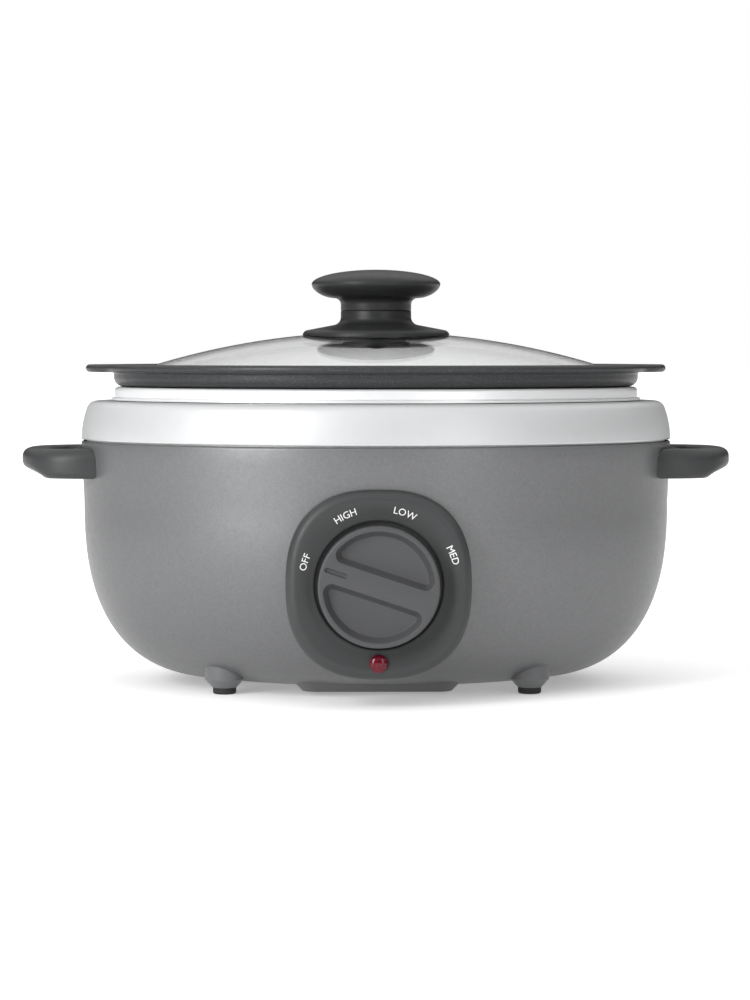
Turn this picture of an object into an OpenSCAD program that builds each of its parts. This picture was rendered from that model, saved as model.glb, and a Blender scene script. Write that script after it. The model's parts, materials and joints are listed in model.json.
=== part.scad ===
// Oval slow cooker: a painted steel heating base with a control dial,
// a lift-out cooking pot and a domed glass lid with a mushroom knob.
// Millimetres, +Z up, front towards -Y, origin on the table under the middle of the oval.

/* [Body] */
// Width of the body at its widest outline
body_w = 324.6; // [270:0.1:390]
// Depth of the body at its widest outline
body_d = 250; // [208:1:300]
// Radius of the rounded ends of the oval
end_r = 98; // [70:1:100]
// Height of the housing's underside above the table
ground_gap = 4; // [3.5:0.5:8]
// Height of the painted housing
housing_h = 129.8; // [120:0.1:155]
// Height of the rounded lower part of the housing
bowl_h = 96; // [74:1:106]
// How far the rounded lower part draws in under the body
bowl_inset = 76; // [60:1:78]
// Draw-in of the straight upper part of the housing
draft_inset = 1.4; // [0:0.1:4]
// Squareness of the rounded lower part, where 2 is an ellipse
bowl_power = 2.5; // [2:0.1:3]
// Thickness of the housing sheet
housing_wall = 1.2; // [0.8:0.1:2]
// Open seam between the housing and the rim band
seam = 0.8; // [0.3:0.1:1]

/* [Rim band] */
// Height of the rim band above the seam
band_h = 21; // [18:0.5:30]
// How far the band leans in at its shoulder
band_lean = 3.2; // [0:0.1:4]
// Radius of the band's top edge
band_fillet = 5.5; // [3:0.5:8]
// Thickness of the band
band_wall = 2; // [1.5:0.1:3]
// Length of the band's skirt inside the housing
skirt_h = 6; // [4:1:10]

/* [Heating well] */
// Inset of the well's collar from the body outline
collar_inset = 18.3; // [16:0.1:22]
// Height of the collar above the rim band
collar_h = 7.6; // [5:0.1:10]
// Width of the collar's top, from its outer face to the well's inside
collar_w = 4.9; // [4.4:0.1:7]
// Thickness of the well sheet
well_wall = 1.2; // [0.8:0.1:1.6]
// Height of the well's floor above the table
well_floor_z = 54; // [50:1:60]
// Radius of the well's lower corner
well_corner = 20; // [12:1:26]

/* [Cooking pot] */
// Clearance between the pot's wall and the well
pot_gap = 1.8; // [1:0.1:4]
// Draw-in of the pot's wall from its shoulder to its floor
pot_taper = 2; // [0:0.1:6]
// Thickness of the pot's wall and floor
pot_wall = 4; // [2.5:0.1:6]
// Clearance between the pot's floor and the well's floor
floor_gap = 4; // [2:0.5:8]
// Height of the shoulder that sits on the collar
shoulder_h = 7.8; // [6:0.1:10]
// Outward step from the pot's wall to its shoulder
shoulder_step = 7.1; // [6.2:0.1:8]
// Outward step from the shoulder to the edge of the rim
rim_step = 5.6; // [4:0.1:7]
// Thickness of the rim
rim_t = 4.2; // [3:0.1:6]
// Depth of the lid's ledge below the rim's top
ledge_depth = 8.5; // [6:0.5:9]
// Reach of each end lug beyond the edge of the rim
lug_reach = 10; // [6:1:12]
// Radius of each end lug
lug_r = 27; // [22:1:32]

/* [Lid] */
// Clearance round the lid inside the pot's rim
lid_gap = 1.3; // [0.8:0.1:2.5]
// Thickness of the glass
glass_t = 4; // [3:0.1:5]
// Radius of the dome along the lid's length
dome_r = 420; // [380:5:520]
// Height of the dome's foot above the lid's lower edge, at the ends of the oval
lid_edge = 2.3; // [2:0.1:6]
// Radius of the knob's cap
knob_r = 35.5; // [30:0.1:42]
// Radius of the knob's neck
neck_r = 19.4; // [14:0.1:22]
// Radius of the knob's flange
flange_r = 40.7; // [36:0.1:46]
// Height of the knob's top above the top of the glass
knob_h = 34.1; // [30:0.1:42]
// Height of the line between the knob's cap and its base
split_h = 11.5; // [9:0.1:12.5]
// Radius of the lid screw
lid_screw_r = 2.5; // [2:0.1:3]

/* [Controls] */
// Height of the dial's centre above the table
dial_z = 63.8; // [60:0.1:70]
// Width of the bezel's face to the left and right of its recess
bezel_side = 14.75; // [11.2:0.05:17.2]
// Width of the bezel's face above and below its recess
bezel_margin = 15.9; // [13.5:0.1:16.2]
// Squareness of the bezel's outline
bezel_power = 2.5; // [2.4:0.1:4]
// Distance of the bezel's face in front of the body's outline
bezel_stand = 5; // [4:0.5:10]
// Radius of the bezel's outer edge
bezel_fillet = 5.5; // [3:0.5:7]
// Thickness of the bezel's walls
bezel_wall = 2.4; // [2:0.1:3]
// Radius of the control dial
dial_r = 31; // [26:0.5:34]
// Clearance round the dial in the bezel's recess
dial_gap = 1.8; // [0.8:0.1:2.5]
// Depth of the bezel's recess
recess_depth = 3; // [2:0.5:4]
// Distance of the dial's front in front of the bezel's face
dial_proud = 10; // [8:0.5:14]
// Width of the dial's grip bar
bar_w = 11.5; // [11:0.5:18]
// Direction that the dial points in when it is off, anticlockwise from the right
off_angle = 161.5; // [150:0.5:175]
// Radius of the switch shaft
shaft_r = 3; // [2.5:0.1:4]
// Running clearance round the switch shaft
shaft_gap = 0.05; // [0.03:0.01:0.1]
// Radius of the pilot lamp's lens
lens_r = 4.7; // [3.5:0.1:5.5]
// Clearance between the bezel's recess and the pilot lamp's lens
lens_gap = 2.4; // [1.5:0.1:3.5]

/* [Handles] */
// Reach of each handle beyond the body's outline
handle_reach = 32.2; // [28:0.1:40]
// Half the length of a handle along the body
handle_half = 45; // [40:1:48]
// Thickness of the grip
grip_t = 16.2; // [13:0.1:19]
// Width of the legs of a handle
leg_w = 15; // [13:0.5:18]
// Height of a handle
handle_h = 16; // [13:0.1:20]
// Distance of the handle's top below the housing's top edge
handle_drop = 3.7; // [2:0.1:12]

/* [Base] */
// Distance between the left and right feet
foot_span_x = 163.2; // [140:0.2:180]
// Distance between the front and rear feet
foot_span_y = 116; // [96:1:124]
// Radius of a rubber foot pad
pad_r = 6.25; // [5:0.05:7]
// Thickness of a rubber foot pad
pad_h = 3.5; // [3:0.1:5]
// Radius of a foot socket where it meets the housing
socket_r = 10.5; // [10:0.5:14]
// Width of the base cover
cover_w = 92; // [84:1:100]
// Depth of the base cover
cover_d = 150; // [130:1:156]
// Height of the base cover's underside above the table
cover_z = 2.1; // [1.5:0.1:3]
// Thickness of the base cover
cover_wall = 2; // [1.5:0.1:3]

/* [Cord gland] */
// Height of the gland above the table
gland_z = 60; // [56:1:66]
// Reach of the gland behind the body's outline
gland_reach = 13; // [8:0.5:16]
// Radius of the hole for the cord
cord_hole_r = 3.6; // [3:0.1:4]

/* [Hidden] */
$fn = 72;

// Clearance between pieces that move apart from each other
free_gap = 0.3;
// A length past the far side of anything that is cut
far = 400;
side_pair = [-1, 1];

// Four tangent arcs make the oval: two ends and two long sides
half_w = body_w / 2;
half_d = body_d / 2;
end_c = half_w - end_r;
side_r = (half_d * half_d + end_c * end_c - end_r * end_r) / (2 * (half_d - end_r));
side_c = side_r - half_d;
end_angle = atan2(side_c, end_c);

// Heights
housing_top = ground_gap + housing_h;
bowl_top = ground_gap + bowl_h;
band_z0 = housing_top + seam;
band_top = band_z0 + band_h;
collar_top = band_top + collar_h;

// Well: offsets of its faces
well_in = -collar_inset - collar_w;
well_out = well_in + well_wall;
well_bend_z = well_floor_z + well_corner;
collar_fillet = 2;
well_bend_top = collar_top - collar_fillet;

// Pot
pot_out = well_in - pot_gap;
pot_low = pot_out - pot_taper;
shoulder_z = collar_top + free_gap;
shoulder_u = pot_out + shoulder_step;
rim_u = shoulder_u + rim_step;
rim_top = shoulder_z + shoulder_h + rim_t;
ledge_z = rim_top - ledge_depth;
recess_u = shoulder_u - 3.6;
pot_floor_z = well_floor_z + floor_gap;
pot_corner = well_corner;

// Lid
lid_u = recess_u - lid_gap;
lid_z = ledge_z + free_gap;
lid_half_w = half_w + lid_u;
lid_half_d = half_d + lid_u;
end_drop = dome_r - sqrt(dome_r * dome_r - lid_half_w * lid_half_w);
apex_z = lid_z + lid_edge + end_drop;
dome_r_short = (lid_half_d * lid_half_d + end_drop * end_drop) / (2 * end_drop);
ferrule_r = 18.8;
ferrule_t = 2;
ferrule_sag = dome_r_short - sqrt(dome_r_short * dome_r_short - ferrule_r * ferrule_r);
ferrule_z = apex_z - glass_t - ferrule_sag - 0.6 - ferrule_t;

// Controls, in distances forward of the oval's centre
face_f = half_d + bezel_stand;
floor_f = face_f - recess_depth;
panel_f = floor_f - bezel_wall;
dial_f = face_f + dial_proud;
dial_back_f = floor_f + 0.4;
pocket_f = dial_f - 5;
recess_r = dial_r + dial_gap;
bezel_w = 2 * (recess_r + bezel_side);
bezel_h = 2 * (recess_r + bezel_margin);
bush_r = 4.6;
bush_f = floor_f + 4;
nut_f = floor_f + 2.2;
case_w = 26;
case_depth = 15;
case_f = panel_f - 1.2;
opening_r = 30;
tab_z = dial_z - case_w / 2 - 8;
tab_f = case_f - 14;
tab_x = [-9, -4.5, 0, 4.5, 9];
lens_z = dial_z - recess_r - lens_gap - lens_r;
boss_pitch = bezel_w / 2 * pow(0.5, 1 / bezel_power) - 3.6;

// Handles and feet
handle_top = housing_top - handle_drop;
handle_mid = handle_top - handle_h / 2;
handle_screw_angle = asin((handle_half - leg_w / 2 - 1.6) / end_r);
foot_x = foot_span_x / 2;
foot_y = foot_span_y / 2;

// Parts under the well
well_under = well_floor_z - well_wall;
stud_r = 2.5;
reflector_z = well_under - 6.8;
reflector_t = 1;
fuse_y = 30;
fuse_x = [30, 50];
fuse_r = 2.4;
fuse_z = well_under - fuse_r - 0.4;
earth_spot = [-40, 25];
block_size = [34, 18, 14];
block_y = 24;
block_z = cover_z + cover_wall;
block_lead_z = block_z + 6;
lead_r = 1.3;
heater_low_z = max(well_bend_z + 8, dial_z + case_w / 2 + 4);
heater_z = [heater_low_z, heater_low_z + 30];
heater_t = 3.5;
heater_tab_x = [30, 42, 54];
heater_tab_z = heater_z[0] - 8;
rear_gap = 12;

// Offset of a point from the oval's outline, negative inside it
function oval_offset(x, y) =
  (abs(y) + side_c) * end_c > abs(x) * side_c
    ? norm([x, abs(y) + side_c]) - side_r
    : norm([abs(x) - end_c, y]) - end_r;

// Half-depth of the oval at x, for an outline with the offset u
function oval_y(x, u) = sqrt(pow(side_r + u, 2) - x * x) - side_c;

// The housing's outer offset at a height, and its height at an offset
function bowl_share(s) = pow(max(0, 1 - pow(s, bowl_power)), 1 / bowl_power);
function housing_u(z) =
  z >= bowl_top
    ? -draft_inset * (housing_top - z) / (housing_top - bowl_top)
    : -bowl_inset + (bowl_inset - draft_inset) * bowl_share((bowl_top - z) / bowl_h);
function bowl_z(u, wall = 0) =
  ground_gap + wall
    + (bowl_h - wall) * (1 - bowl_share(max(0, bowl_inset + u) / (bowl_inset - draft_inset - wall)));

// The rounded lower part of the housing, for a surface inside the outer one by wall
bowl_steps = 13;
bowl_inner_steps = 9;
function bowl_curve(wall, steps) = [
  for (i = [0 : steps])
    let (t = 90 * i / steps)
      [
        -bowl_inset + (bowl_inset - draft_inset - wall) * pow(cos(t), 2 / bowl_power),
        ground_gap + wall + (bowl_h - wall) * (1 - pow(sin(t), 2 / bowl_power))
      ]
];

function reversed(list) = [for (i = [len(list) - 1 : -1 : 0]) list[i]];
function arc(c, r, from, to, steps = 6) = [
  for (i = [0 : steps])
    let (a = from + (to - from) * i / steps)
      c + r * [cos(a), sin(a)]
];
function signed_pow(v, p) = sign(v) * pow(abs(v), p);
function superellipse(a, b, n, steps = 64) = [
  for (i = [0 : steps - 1])
    let (t = 360 * i / steps)
      [a * signed_pow(cos(t), 2 / n), b * signed_pow(sin(t), 2 / n)]
];
// A quarter of an ellipse from the right of its centre to its top
function quarter(c, a, b, from = 0, to = 90, n = 2, steps = 10) = [
  for (i = [0 : steps])
    let (t = from + (to - from) * i / steps)
      c + [a * signed_pow(cos(t), 2 / n), b * signed_pow(sin(t), 2 / n)]
];

// Directions round the oval, anticlockwise from the start of the right-hand end
outline_tol = 0.125;
side_angle = 180 - 2 * end_angle;
function arc_steps(r, angle) = ceil(angle / (2 * acos(1 - outline_tol / r)));
end_steps = arc_steps(end_r, 2 * end_angle);
side_steps = arc_steps(side_r, side_angle);
oval_angles = [
  for (turn = [0, 180])
    each concat(
      [for (i = [0 : end_steps - 1]) turn - end_angle + 2 * end_angle * i / end_steps],
      [for (i = [0 : side_steps - 1]) turn + end_angle + side_angle * i / side_steps]
    )
];
function oval_point(angle, u) =
  let (c = cos(angle), s = sin(angle))
  abs(s) < sin(end_angle)
    ? [(end_r + u) * c + sign(c) * end_c, (end_r + u) * s]
    : [(side_r + u) * c, (side_r + u) * s - sign(s) * side_c];
function oval_outline(u) = [for (a = oval_angles) oval_point(a, u)];

// A solid skin over rings of points that run anticlockwise about the way they follow each
// other; its ends are flat caps, or the last ring joins the first
module skin(rings, capped = true) {
  n = len(rings[0]);
  count = len(rings);
  spans = capped ? count - 1 : count;
  sides = [
    for (i = [0 : spans - 1])
      for (k = [0 : n - 1])
        let (
          a = i * n + k,
          b = i * n + (k + 1) % n,
          next_a = ((i + 1) % count) * n + k,
          next_b = ((i + 1) % count) * n + (k + 1) % n
        )
        each [[a, next_a, b], [b, next_a, next_b]]
  ];
  caps = [
    [for (k = [0 : n - 1]) k],
    [for (k = [n - 1 : -1 : 0]) (count - 1) * n + k]
  ];
  polyhedron(
    points = [for (ring = rings) for (p = ring) p],
    faces = capped ? concat(sides, caps) : sides
  );
}

// Solids that follow the oval; points are [offset, z], up the outside and down the inside
module oval_skin(points, capped) {
  skin([for (p = points) [for (q = oval_outline(p[0])) [q[0], q[1], p[1]]]], capped);
}
module oval_ring(points) {
  oval_skin(points, false);
}
module oval_bowl(points) {
  oval_skin(points, true);
}
module oval_plate(u, z0, z1) {
  translate([0, 0, z0])
    linear_extrude(z1 - z0)
      polygon(oval_outline(u));
}
module oval_band(outer, inner, z0, z1) {
  translate([0, 0, z0])
    linear_extrude(z1 - z0)
      difference() {
        polygon(oval_outline(outer));
        polygon(oval_outline(inner));
      }
}

// Everything inside the housing's outer surface along one long side, front or rear,
// and round one end, for what is shaped to fit against it
module turned_body(r) {
  rotate_extrude($fn = 180)
    polygon(concat(
      [[0, ground_gap]],
      [for (p = reversed(bowl_curve(0, bowl_steps))) [r + p[0], p[1]]],
      [[r, housing_top], [0, housing_top]]
    ));
}
module side_body(side) {
  translate([0, -side * side_c, 0])
    turned_body(side_r);
}
module end_body(side) {
  translate([side * end_c, 0, 0])
    turned_body(end_r);
}

// Places for things that point forwards, backwards, or out from the rounded ends
module forward(f, x = 0, z = dial_z) {
  translate([x, -f, z])
    rotate([90, 0, 0])
      children();
}
module backward(f, x, z) {
  translate([x, f, z])
    rotate([-90, 0, 0])
      children();
}
module outward(side, angle, r, z) {
  mirror([side < 0 ? 1 : 0, 0, 0])
    translate([end_c, 0, z])
      rotate([0, 0, angle])
        translate([r, 0, 0])
          rotate([0, 90, 0])
            children();
}
module at_feet() {
  for (sx = side_pair) {
    for (sy = side_pair) {
      translate([sx * foot_x, sy * foot_y, 0])
        children();
    }
  }
}

module rounded_square(size, r) {
  square([size[0], size[1] - 2 * r], center = true);
  square([size[0] - 2 * r, size[1]], center = true);
  for (sx = side_pair) {
    for (sy = side_pair) {
      translate([sx * (size[0] / 2 - r), sy * (size[1] / 2 - r)])
        circle(r);
    }
  }
}

module tube(r_out, r_in, h) {
  difference() {
    cylinder(r = r_out, h = h);
    translate([0, 0, -1])
      cylinder(r = r_in, h = h + 2);
  }
}

// A hexagon nut with its bore
module hex_nut(r, bore, h) {
  difference() {
    cylinder(r = r, h = h, $fn = 6);
    translate([0, 0, -1])
      cylinder(r = bore, h = h + 2);
  }
}

// A screw whose head starts at the origin and whose shank runs along +Z
module pan_screw(r, length, head_r, head_h) {
  cylinder(r = r, h = length);
  translate([0, 0, -head_h])
    cylinder(r = head_r, h = head_h);
}

// Points along a smooth lead through hand-chosen points
function spline_point(a, b, c, d, t) =
  0.5 * (2 * b + (c - a) * t + (2 * a - 5 * b + 4 * c - d) * t * t
    + (3 * b - a - 3 * c + d) * t * t * t);
function smooth_path(p, k = 3) = let (n = len(p) - 1) concat(
  [
    for (i = [0 : n - 1])
      for (j = [0 : k - 1])
        spline_point(
          p[max(0, i - 1)], p[i], p[i + 1], p[min(n, i + 2)], j / k
        )
  ],
  [p[n]]
);
function unit(v) = v / norm(v);
function path_direction(p, i) = let (n = len(p) - 1)
  unit(p[min(n, i + 1)] - p[max(0, i - 1)]);
function ring_points(c, d, r, sides) =
  let (
    reference = abs(d[0]) > 0.8 ? [0, 1, 0] : [1, 0, 0],
    n = unit(cross(d, reference)),
    b = cross(d, n)
  )
  [for (k = [0 : sides - 1]) c + r * (cos(360 * k / sides) * n + sin(360 * k / sides) * b)];

// A round lead swept through points, with flat ends square to its first and last stretch
module lead(points, r = lead_r, sides = 6) {
  path = smooth_path(points);
  last = len(path) - 1;
  first_way = unit(points[1] - points[0]);
  last_way = unit(points[len(points) - 1] - points[len(points) - 2]);
  skin([
    for (i = [0 : last])
      ring_points(
        path[i],
        i == 0 ? first_way : i == last ? last_way : path_direction(path, i),
        r, sides
      )
  ]);
}

// ---- Casing ----

module housing() {
  color("#8f9294")
    difference() {
      oval_bowl(concat(
        reversed(bowl_curve(0, bowl_steps)),
        [[0, housing_top], [-housing_wall, housing_top]],
        bowl_curve(housing_wall, bowl_inner_steps)
      ));
      // access hole under the base cover
      translate([0, 0, ground_gap - 1])
        linear_extrude(housing_wall + 2)
          rounded_square([cover_w - 16, cover_d - 58], 12);
      // way in for the rotary switch
      forward(half_d - 20)
        cylinder(r = opening_r, h = 40);
      bezel_screw_places()
        cylinder(r = 1.8, h = 20, center = true);
      backward(half_d - 20, 0, gland_z)
        cylinder(r = gland_body_r, h = 40);
      handle_screw_places()
        cylinder(r = 1.9, h = 16, center = true);
      at_feet()
        cylinder(r = spigot_r, h = 40);
    }
}

module rim_band() {
  lean_angle = atan(2 * band_lean / (band_h - band_fillet));
  bend = [-band_lean - band_fillet * cos(lean_angle), band_top - band_fillet];
  bend_z = bend[1] + band_fillet * sin(lean_angle);
  steps = 6;
  inner_u = -housing_wall - band_wall;
  skirt_z = housing_top - skirt_h;
  color("#d8dadb")
    oval_ring(concat(
      [
        for (i = [0 : steps - 1])
          let (s = i / steps)
            [-band_lean * s * s, band_z0 + s * (bend_z - band_z0)]
      ],
      arc(bend, band_fillet, lean_angle, 90),
      [[flange_in, band_top], [flange_in, band_top - band_wall]],
      arc(bend, band_fillet - band_wall, 90, lean_angle),
      [
        [inner_u, band_z0 + band_h / 3],
        [inner_u, skirt_z],
        [housing_u(skirt_z) - housing_wall, skirt_z],
        [-housing_wall, housing_top],
        [-housing_wall, band_z0]
      ]
    ));
}
flange_in = well_out + 2.3;

module heating_well() {
  flange_out = -collar_inset + 1.8;
  curl = collar_fillet - well_wall;
  out_bend = [-collar_inset - collar_fillet, well_bend_top];
  in_bend = [well_in + collar_fillet, well_bend_top];
  low_bend = [well_in - well_corner, well_bend_z];
  color("#e6e7e8")
    oval_bowl(concat(
      arc(low_bend, well_corner + well_wall, -90, 0, 6),
      arc(in_bend, curl, 180, 90, 2),
      arc(out_bend, curl, 90, 0, 2),
      [
        [-collar_inset - well_wall, band_top],
        [flange_out, band_top],
        [flange_out, band_top + well_wall]
      ],
      arc([-collar_inset + well_wall, band_top + 2 * well_wall], well_wall, 270, 180, 2),
      arc(out_bend, collar_fillet, 0, 90, 4),
      arc(in_bend, collar_fillet, 90, 180, 4),
      arc(low_bend, well_corner, 0, -90, 6)
    ));
}

// ---- Heating parts round the well ----

module heater_band() {
  color("#b9a58c")
    difference() {
      oval_band(well_out + heater_t, well_out, heater_z[0], heater_z[1]);
      translate([-rear_gap / 2, 0, heater_z[0] - 1])
        cube([rear_gap, far, heater_z[1] - heater_z[0] + 2]);
    }
}

module at_heater_tab(x) {
  r = side_r + well_out + heater_t / 2;
  translate([0, side_c, 0])
    rotate([0, 0, asin(x / r)])
      translate([0, -r, 0])
        children();
}
function heater_tab_at(x, z) =
  let (r = side_r + well_out + heater_t / 2)
  [x, side_c - sqrt(r * r - x * x), z];

module heater_terminals() {
  color("#c9b27c")
    for (x = heater_tab_x) {
      at_heater_tab(x)
        translate([-3, -0.5, heater_tab_z])
          cube([6, 1, heater_z[0] - heater_tab_z]);
    }
}

clamp_z = (heater_z[0] + heater_z[1]) / 2;
clamp_lug_t = 1.5;
clamp_reach = 9;
clamp_f = half_d + well_out + heater_t + clamp_reach / 2 + 1;

module heater_clamp() {
  color("#a9adb0")
    difference() {
      for (s = side_pair) {
        translate([s * (rear_gap / 2 + clamp_lug_t / 2), clamp_f, clamp_z])
          cube([clamp_lug_t, clamp_reach + 4, 20], center = true);
      }
      oval_plate(well_out + heater_t, heater_z[0], heater_z[1]);
      translate([-far / 2, clamp_f, clamp_z])
        rotate([0, 90, 0])
          cylinder(r = 1.6, h = far);
    }
}

module clamp_screw() {
  lug_face = rear_gap / 2 + clamp_lug_t;
  color("#8c9094")
    translate([-lug_face, clamp_f, clamp_z])
      rotate([0, 90, 0]) {
        pan_screw(1.6, 2 * lug_face + 5, 3, 2);
        translate([0, 0, 2 * lug_face])
          cylinder(r = 3.2, h = 2.6, $fn = 6);
      }
}

module insulation_blanket() {
  blanket_gap = 30;
  color("#efe9d6")
    difference() {
      oval_band(well_out + heater_t + 8, well_out + heater_t, heater_z[0] - 2, heater_z[1] + 14);
      translate([-blanket_gap / 2, 0, 0])
        cube([blanket_gap, far, far]);
    }
}

module reflector_plate() {
  color("#c4c8cb")
    difference() {
      oval_plate(-40, reflector_z, reflector_z + reflector_t);
      translate([0, 0, reflector_z - 1])
        cylinder(r = stud_r, h = 3);
      for (x = [fuse_x[0] - 5, fuse_x[1] + 5]) {
        translate([x, fuse_y, reflector_z - 1])
          cylinder(r = 4, h = 3);
      }
      translate([earth_spot[0], earth_spot[1], reflector_z - 1])
        cylinder(r = 6, h = 3);
    }
}

module reflector_spacer() {
  color("#9da1a4")
    translate([0, 0, reflector_z + reflector_t])
      tube(6, stud_r, well_under - reflector_z - reflector_t);
}

module reflector_nut() {
  color("#9da1a4")
    translate([0, 0, reflector_z - 3])
      hex_nut(4.6, stud_r, 3);
}

module tie_stud() {
  color("#8c9094")
    translate([0, 0, cover_z + 1.2])
      cylinder(r = stud_r, h = well_under - cover_z - 1.2);
}

// ---- Base cover ----

nut_pocket_r = 9;
nut_seat_z = cover_z + 5;

module base_nut() {
  color("#9da1a4")
    translate([0, 0, nut_seat_z - 3])
      hex_nut(4.6, stud_r, 3);
}

module cover_block(inset, z0, z1) {
  hull() {
    translate([0, 0, z0])
      linear_extrude(0.1)
        rounded_square([cover_w - 12 - 2 * inset, cover_d - 12 - 2 * inset], 8 - inset, $fn = 32);
    translate([0, 0, z1])
      linear_extrude(0.1)
        rounded_square([cover_w - 2 * inset, cover_d - 2 * inset], 10 - inset, $fn = 32);
  }
}

module base_cover() {
  cover_top = bowl_z(oval_offset(0, cover_d / 2)) + 2;
  color("#4d4f51")
    difference() {
      union() {
        difference() {
          cover_block(0, cover_z, cover_top);
          cover_block(cover_wall, cover_z + cover_wall, cover_top + 1);
        }
        translate([0, 0, cover_z])
          cylinder(r = nut_pocket_r + cover_wall, h = nut_seat_z + cover_wall - cover_z);
      }
      difference() {
        intersection() {
          side_body(-1);
          side_body(1);
        }
        cylinder(r = nut_pocket_r + cover_wall, h = 30);
      }
      translate([0, 0, cover_z - 1])
        cylinder(r = nut_pocket_r, h = nut_seat_z - cover_z + 1);
      cylinder(r = stud_r, h = 30);
    }
}

// ---- Wiring ----

module thermal_fuse() {
  color("#d9d2c0")
    translate([fuse_x[0], fuse_y, fuse_z])
      rotate([0, 90, 0])
        cylinder(r = fuse_r, h = fuse_x[1] - fuse_x[0]);
}

module fuse_clip() {
  color("#a9adb0")
    difference() {
      translate([(fuse_x[0] + fuse_x[1]) / 2 - 4, fuse_y - 6, fuse_z - fuse_r - 0.5])
        cube([8, 12, well_under - fuse_z + fuse_r + 0.5]);
      translate([fuse_x[0], fuse_y, fuse_z])
        rotate([0, 90, 0])
          cylinder(r = fuse_r, h = fuse_x[1] - fuse_x[0]);
      for (s = side_pair) {
        translate([fuse_x[0], fuse_y + s * 5.5 - 2.5, fuse_z - fuse_r - 1])
          cube([fuse_x[1] - fuse_x[0], 5, 2 * fuse_r]);
      }
    }
}

module earth_screw() {
  color("#c9b27c")
    translate([earth_spot[0], earth_spot[1], well_under - 3])
      cylinder(r = 4, h = 3);
}

module terminal_block() {
  color("#e9e6dd")
    translate([-block_size[0] / 2, block_y, block_z])
      difference() {
        cube(block_size);
        for (i = [0 : 2]) {
          translate([block_size[0] * (2 * i + 1) / 6, block_size[1] / 2, block_size[2] - 5])
            cylinder(r = 3, h = 6);
        }
      }
}
function block_face(i) = [block_size[0] * ((2 * i + 1) / 6 - 0.5), block_y, block_lead_z];

module terminal_screws() {
  color("#c9b27c")
    for (i = [0 : 2]) {
      translate([block_face(i)[0], block_y + block_size[1] / 2, block_z + block_size[2] - 5])
        cylinder(r = 3, h = 3);
    }
}

function switch_tab_end(i) = [tab_x[i], -tab_f, tab_z];

module live_lead() {
  from = block_face(0);
  to = switch_tab_end(0);
  color("#7a4a2a")
    lead([
      from,
      from + [0, -6, 0],
      [from[0] - 4, 0, 18],
      [-14, -50, 26],
      [to[0], to[1] + 11, to[2] - 10],
      to + [0, 0, -4],
      to
    ]);
}

module neutral_lead() {
  from = block_face(2);
  to = [fuse_x[1], fuse_y, fuse_z];
  color("#2f5f9a")
    lead([
      from,
      from + [0, -6, 0],
      [from[0] + 14, from[1] - 10, 20],
      [to[0] + 6, fuse_y, reflector_z - 8],
      [to[0] + 5, fuse_y, reflector_z - 1],
      to + [4.2, 0, 0],
      to
    ]);
}

module fuse_lead() {
  from = [fuse_x[0], fuse_y, fuse_z];
  to = heater_tab_at(heater_tab_x[1], heater_tab_z);
  color("#c9b27c")
    lead([
      from,
      from + [-4.2, 0, 0],
      [from[0] - 5, fuse_y, reflector_z - 1],
      [from[0] - 4, fuse_y - 8, reflector_z - 10],
      [36, -30, 32],
      [to[0], to[1] + 19, 34],
      [to[0], to[1] + 3, 52],
      to + [0, 0, -6],
      to
    ]);
}

// A lead that dips by drop on its way from a switch tab to a heater terminal
module heat_lead(tab, post, drop, wire_color) {
  from = switch_tab_end(tab);
  to = heater_tab_at(heater_tab_x[post], heater_tab_z);
  middle = (from + to) / 2;
  color(wire_color)
    lead([
      from,
      from + [0, 0, -4],
      from + [5, 6, -drop],
      [middle[0] + 3, middle[1] + 3, from[2] + 2 - drop],
      to + [0, 0, -18],
      to + [0, 0, -6],
      to
    ]);
}

module high_heat_lead() {
  heat_lead(4, 2, 8, "#b03a2e");
}

module low_heat_lead() {
  heat_lead(3, 0, 1, "#d8a32a");
}

module lamp_leads() {
  back = face_f - bezel_wall - lamp_length;
  live = switch_tab_end(1);
  neutral = block_face(1);
  color("#e9e6dd") {
    lead([
      [-1.5, -back, lens_z],
      [-1.5, -back + 2.2, lens_z],
      [-2, -back + 0.6, lens_z + 6],
      [-3.5, live[1] - 4.6, live[2] - 7],
      live + [0, -0.5, -3],
      live
    ], 0.8, 6);
    lead([
      [1.5, -back, lens_z],
      [1.5, -back + 2.2, lens_z],
      [1.5, -back + 0.6, lens_z + 6],
      [0.5, live[1] - 4, live[2] - 8],
      [-1, live[1] + 3, live[2] - 4],
      [-6, live[1] + 19, live[2] - 8],
      [-12, -50, 34],
      [-9, 0, 24],
      neutral + [0, -6, 0],
      neutral
    ], 0.8, 6);
  }
}

module earth_lead() {
  from = block_face(1) + [0, 0, 4];
  to = [earth_spot[0], earth_spot[1], well_under - 3];
  color("#5c9a3a")
    lead([
      from,
      from + [0, -5, 0],
      [-20, block_y - 12, 20],
      [to[0], to[1] - 4, 30],
      to + [0, 0, -6],
      to
    ]);
}

// ---- Switch and control panel ----

module switch_case() {
  color("#efece2")
    difference() {
      forward(case_f - case_depth)
        translate([0, 0, case_depth / 2])
          cube([case_w, case_w, case_depth], center = true);
      forward(shaft_end_f - 1)
        cylinder(r = shaft_r + free_gap, h = 40);
    }
}
shaft_end_f = case_f - 12;

module switch_bushing() {
  color("#b9bdc0")
    difference() {
      union() {
        forward(case_f)
          translate([0, 0, 0.6])
            cube([case_w + 2, case_w + 2, 1.2], center = true);
        forward(case_f)
          cylinder(r = bush_r, h = bush_f - case_f);
      }
      forward(case_f - 1)
        cylinder(r = shaft_r + shaft_gap, h = 20);
    }
}

module switch_tabs() {
  color("#c9b27c")
    for (x = tab_x) {
      translate([x - 1.6, -tab_f - 0.4, tab_z])
        cube([3.2, 0.8, 8]);
    }
}

module switch_nut() {
  color("#9da1a4")
    forward(floor_f)
      hex_nut(8, bush_r, nut_f - floor_f);
}

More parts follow.
